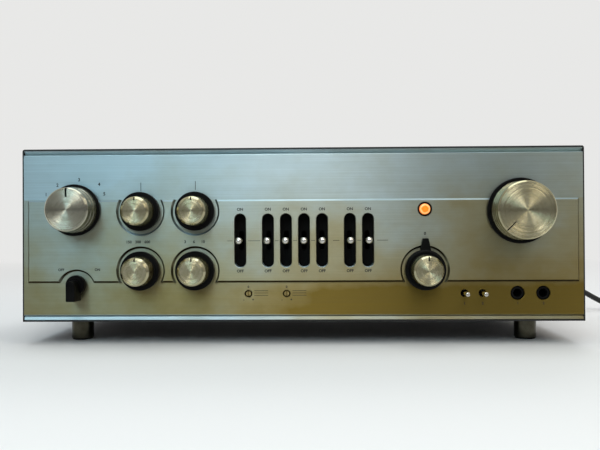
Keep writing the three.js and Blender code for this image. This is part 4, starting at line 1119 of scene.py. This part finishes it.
def case_cover():
    """A sheet folded down at both sides, with vents in its top"""
    outer, inner = 1.9, 0.8
    outline = [(-HALF, UNDER)] + arc(-HALF + outer, TOP - outer, outer, 180, 90, 5)
    outline += arc(HALF - outer, TOP - outer, outer, 90, 0, 5) + [(HALF, UNDER)]
    outline += [(HALF - SHEET, UNDER)] + arc(HALF - SHEET - inner, TOP - SHEET - inner, inner, 0, 90, 4)
    outline += arc(-HALF + SHEET + inner, TOP - SHEET - inner, inner, 90, 180, 4) + [(-HALF + SHEET, UNDER)]
    cover = drawn("cover_shell", outline, FACE + 0.8, REAR)
    group_x, vent_step = 0.4948 * HALF, 11
    first_x = -group_x - 33
    rings = [(0.6, TOP + 0.6), (0, TOP - 0.4), (0, TOP - 2)]
    vent = round_slot("vent", (3, 62), rings, (first_x, REAR - 80, 0), "Z", 24)
    vents = [vent]
    for middle in (-group_x, group_x):
        for i in range(7):
            shift = middle + (i - 3) * vent_step - first_x
            if shift > 0.1:
                vents.append(copied(vent, "vent", (shift, 0, 0)))
    cut(cover, vents)
    dress(shade(cover, 28), "black_paint", "case_cover")
    for side, word in ((-1, "left"), (1, "right")):
        for end, y in (("front", -52), ("rear", 78)):
            screw = screw_head(f"side_screw_{end}_{word}", (side * HALF, y, UNDER + 14), "X", 3.2, 1.8, side)
            dress(shade(screw), "chrome")


def socket_plate(node, x, columns):
    """Rows of turned sockets with coloured insulators on one plate"""
    low, high = (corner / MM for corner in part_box(node))
    face = REAR + 2.3
    plate = block("plate", (low.x, REAR + 0.3, low.z), (high.x, face, high.z))
    soften(plate, 0.5)
    through = block("through", (low.x + 4, REAR - 10, low.z + 4), (high.x - 4, REAR + 1, high.z - 4))
    united(plate, through)
    renamed(plate, node + "_plate")
    dress(shade(plate), "board_laminate", node)
    place = (x - (columns - 1) / 2 * SOCKET_STEP, face, FITTINGS_Z - SOCKET_STEP / 2)
    sleeve = [
        (6.2, 0), (6.2, 0.5), (5.7, 0.8), (4.6, 0.8), (4.2, 1.1), (4.2, 5.9), (4, 6.8), (3.75, 7), (3.5, 6.8),
        (3.3, 6.2), (3.3, 1),
    ]
    barrel = turned("barrel", sleeve, place, sides=40)
    heart = [(3.35, 0.9), (3.35, 5.2), (3.1, 5.5), (1.9, 5.5), (1.7, 5.2), (1.7, 1.2)]
    cores = {}
    barrels = []
    first_core = turned("core", heart, place, sides=32)
    for i in range(columns):
        for row, colour in ((0, "red"), (1, "white")):
            shift = (i * SOCKET_STEP, 0, row * SOCKET_STEP)
            barrels.append(copied(barrel, "barrel", shift))
            cores.setdefault(colour, []).append(copied(first_core, "core", shift))
    bpy.data.objects.remove(barrel)
    bpy.data.objects.remove(first_core)
    dress(shade(joined(node + "_barrels", barrels)), "bright_metal")
    for colour, parts in cores.items():
        core = shade(joined(f"{node}_{colour}", parts))
        dress(core, f"{colour}_insulator", slot="black_plastic")
    for letter, side in (("a", low.x + 4.5), ("b", high.x - 4.5)):
        screw = screw_head(f"{node}_screw_{letter}", (side, face, FITTINGS_Z), "Y", 2.2, 1.2)
        dress(shade(screw), "chrome")


def mains_outlets():
    low, high = (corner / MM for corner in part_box("mains_outlets"))
    x, z = OUTLET_X, FITTINGS_Z
    face = REAR + 3.3
    plate = block("plate", (low.x, REAR + 0.3, low.z), (high.x, face, high.z))
    bevel_edges(plate, lambda a, b: abs(a.y - b.y) > 1, 3, 5)
    soften(plate, 0.7, 3)
    through = block("through", (low.x + 4, REAR - 16, low.z + 4), (high.x - 4, REAR + 1, high.z - 4))
    united(plate, through)
    tools = []
    for pair in (-15, 15):
        well = [(0, face + 1), (0, face - 0.9)]
        tools.append(round_slot("well", (22, 26), well, (x + pair, 0, z), sides=48))
        for pin in (-PIN_OFFSET, PIN_OFFSET):
            middle = x + pair + pin
            tools.append(block("slot", (middle - 1, face - 12, z - 4), (middle + 1, face + 2, z + 4)))
    cut(plate, tools)
    renamed(plate, "outlet_plate")
    dress(shade(plate), "black_plastic", "mains_outlets")
    screw = screw_head("outlet_screw", (x, face, z), "Y", 2.4, 1.3)
    dress(shade(screw), "bright_metal")


def knurled(name, x, profile, first, last, depth):
    """A turned piece of the rear panel, with every second face between two places along Y sunk"""
    sides = 48
    piece = turned(name, [(radius, REAR + y) for radius, y in profile], (x, 0, FITTINGS_Z), sides=sides)

    def every_second(place, normal):
        turn = math.atan2(place.z - FITTINGS_Z, place.x - x) / (2 * math.pi)
        return REAR + first < place.y < REAR + last and math.floor(turn * sides) % 2 == 0

    pick(piece, "FACE", every_second)
    bpy.ops.mesh.inset(thickness=0.12 * MM, depth=-depth * MM, use_individual=True)
    leave()
    return piece


def fuse_holder():
    x, z = FUSE_X, FITTINGS_Z
    profile = [(6, -24), (6, 0.2), (7, 0.3), (7, 1.8), (7, 2.2), (7, 2.3), (7, 10.8), (6.4, 11.8), (5, 12)]
    holder = knurled("fuse_cap", x, profile, 3, 10, 0.35)
    cut(holder, [block("slot", (x - 5, REAR + 10.9, z - 0.7), (x + 5, REAR + 14, z + 0.7))])
    dress(shade(holder, 30), "black_plastic", "fuse_holder")


def ground_terminal():
    profile = [
        (2.5, -10), (2.5, 0.3), (3, 0.3), (3, 4), (4.6, 4), (5, 4.4), (5, 9.8), (4.6, 10.6), (3.6, 11),
        (1, 11),
    ]
    post = knurled("ground_post", GROUND_X, profile, 4.6, 9.6, 0.3)
    dress(shade(post, 30), "bright_metal", "ground_terminal")


def feet():
    profile = [
        (9.2, 1.2), (9.6, 1.35), (9.8, 1.7), (9.8, 18.6), (9.5, 19.2), (9.1, 19.4), (9.1, 19.8), (9.5, 20),
        (9.6, 20.7),
    ]
    for end in ("front", "rear"):
        for side in ("left", "right"):
            node = f"foot_{end}_{side}"
            low, high = (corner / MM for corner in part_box(node))
            x, y = (low.x + high.x) / 2, (low.y + high.y) / 2
            foot = turned(node + "_body", profile, (x, y, 0), "Z", 64)
            dress(shade(foot, 30), "nickel", node, slot="bright_metal")
            pad = turned(node + "_pad", [(8.6, 0.02), (9, 0.3), (9, 1.3)], (x, y, 0), "Z", 48)
            dress(shade(pad), "gasket", slot="cord_rubber")


def rear_details():
    """Screws and plain numbers on the rear panel, and screws under the case"""
    places = [(x, z) for x in (-232, 232) for z in (UNDER + 10, TOP - 10)] + [(0, UNDER + 10), (0, TOP - 10)]
    screws = [screw_head("rear_screw", (x, REAR, z), "Y", 2.8, 1.5) for x, z in places]
    dress(shade(joined("rear_screws", screws)), "chrome")
    plane = REAR + 0.02
    parts = []
    for middle, columns, first in ((PHONO_X, PHONO_COLUMNS, 1), (LINE_X, LINE_COLUMNS, 4)):
        for i in range(columns):
            x = middle + ((columns - 1) / 2 - i) * SOCKET_STEP
            parts.append(printed_words(str(i + first), 4, x, REAR_MARKS_Z, plane, -1))
    for x in (OUTLET_X - 15, OUTLET_X + 15):
        parts.append(printed_line((x - 8, REAR_MARKS_Z), (x + 8, REAR_MARKS_Z), 0.5, plane, -1))
    above = REAR_MARKS_Z + 6
    parts.append(printed_line((LINE_X - 64, above), (LINE_X + 64, above), 0.4, plane, -1))
    dress(joined("rear_print", parts), "pale_ink", slot="black_paint")
    under = [(x, y) for x in (-225, 0, 225) for y in (-80, 92)]
    bottom = [screw_head("bottom_screw", (x, y, UNDER), "Z", 2.8, 1.5, -1) for x, y in under]
    dress(shade(joined("bottom_screws", bottom)), "chrome")


case_cover()
socket_plate("phono_sockets", PHONO_X, PHONO_COLUMNS)
socket_plate("line_sockets", LINE_X, LINE_COLUMNS)
mains_outlets()
fuse_holder()
ground_terminal()
feet()
rear_details()

for part in frame["record"]["subparts"]:
    node = frame["nodes"][part["node"]]
    node.data.materials.clear()
    # The lever bank behind the slots is made near-black like the slot mask: painted shade inside the lever
    # slots
    dark_in_slots = part["node"].startswith(("lever_bank", "slot_mask"))
    node.data.materials.append(finishes["gasket" if dark_in_slots else part["material_slot"]])


# Floor, light and background

PALE = tone(0.91, 0.91, 0.905)
LAMP_AIM = Vector((0, 0, 0.1))


def seen_rays(finish, gloss):
    """How much the camera, and through metal and glass the reflections, see of the pale background"""
    path = finish.node("LightPath")
    camera, glossy, through = finish.outputs_of(path, "Is Camera Ray", "Is Glossy Ray", "Is Transmission Ray")
    return camera + glossy * gloss + through


def floor():
    """A pale floor that keeps the object's shadow, looks darker in front to reflections, and runs out
    into the background"""
    clear()
    bpy.ops.mesh.primitive_plane_add(size=24)
    piece = named("floor")
    finish = Finish("floor_paint")
    x, y, z = finish.split(finish.place())
    far = finish.spread((x * x + y * y) ** 0.5, 500, 1700)
    finish.set(Base_Color=tone(0.9, 0.9, 0.895), Roughness=0.9)
    glow = finish.node("Emission", None, {"Color": PALE})
    mirrored = finish.node("LightPath", output="Is Glossy Ray")
    dim = finish.node("Emission", None, {"Color": tone(0.2, 0.2, 0.21)})
    in_front = finish.spread(y, -60, -350, 0, 0.6)
    near = finish.node("MixShader", None, {0: mirrored * in_front, 1: finish.shader_output(), 2: dim})
    share = far * seen_rays(finish, finish.spread(y, -900, 300, 0.04, 1.0))
    both = finish.node("MixShader", None, {0: share, 1: near, 2: glow})
    finish.feed(finish.tree.nodes["Material Output"].inputs["Surface"], both)
    piece.data.materials.append(finish.material)


def lamp(name, place, size, power, colour):
    """A lamp that points at the object's middle"""
    bpy.ops.object.light_add(type="AREA", location=place)
    light = bpy.context.object
    light.name = name
    light.data.shape = "RECTANGLE"
    light.data.size, light.data.size_y = size
    light.data.energy = power
    light.data.color = colour
    light.rotation_euler = (LAMP_AIM - Vector(place)).to_track_quat("-Z", "Y").to_euler()


def studio():
    floor()
    lamp("key", (-0.03, -1.5, 1.3), (0.6, 1.3), 9, (1.0, 0.99, 0.96))
    lamp("window", (-0.6, -1.4, 0.95), (0.7, 0.8), 5.5, (0.55, 0.86, 1.0))
    lamp("overhead", (0, -0.2, 1.9), (1.4, 1.4), 12, (0.9, 0.97, 1.0))
    lamp("room", (1.3, -1.1, 1.2), (0.9, 0.9), 7, (1.0, 0.92, 0.78))
    lamp("behind", (0.4, 1.4, 1.5), (1.4, 0.9), 11, (1.0, 1.0, 1.0))
    scene = bpy.context.scene
    world = bpy.data.worlds.new("studio")
    world.use_nodes = True
    scene.world = world
    finish = Finish("studio", world.node_tree)
    side, depth, height = finish.split(finish.node("TexCoord", output="Generated"))
    dome = finish.mix(finish.spread(height, 0.05, 0.8), (0.12, 0.12, 0.125, 1), (0.5, 0.5, 0.51, 1))
    colour = finish.mix(seen_rays(finish, finish.spread(depth, -0.3, 0.5, 0.06, 1.0)), dome, PALE)
    finish.feed(world.node_tree.nodes["Background"].inputs["Color"], colour)
    scene.view_settings.view_transform = "Standard"


studio()
lead_points[0] * MM
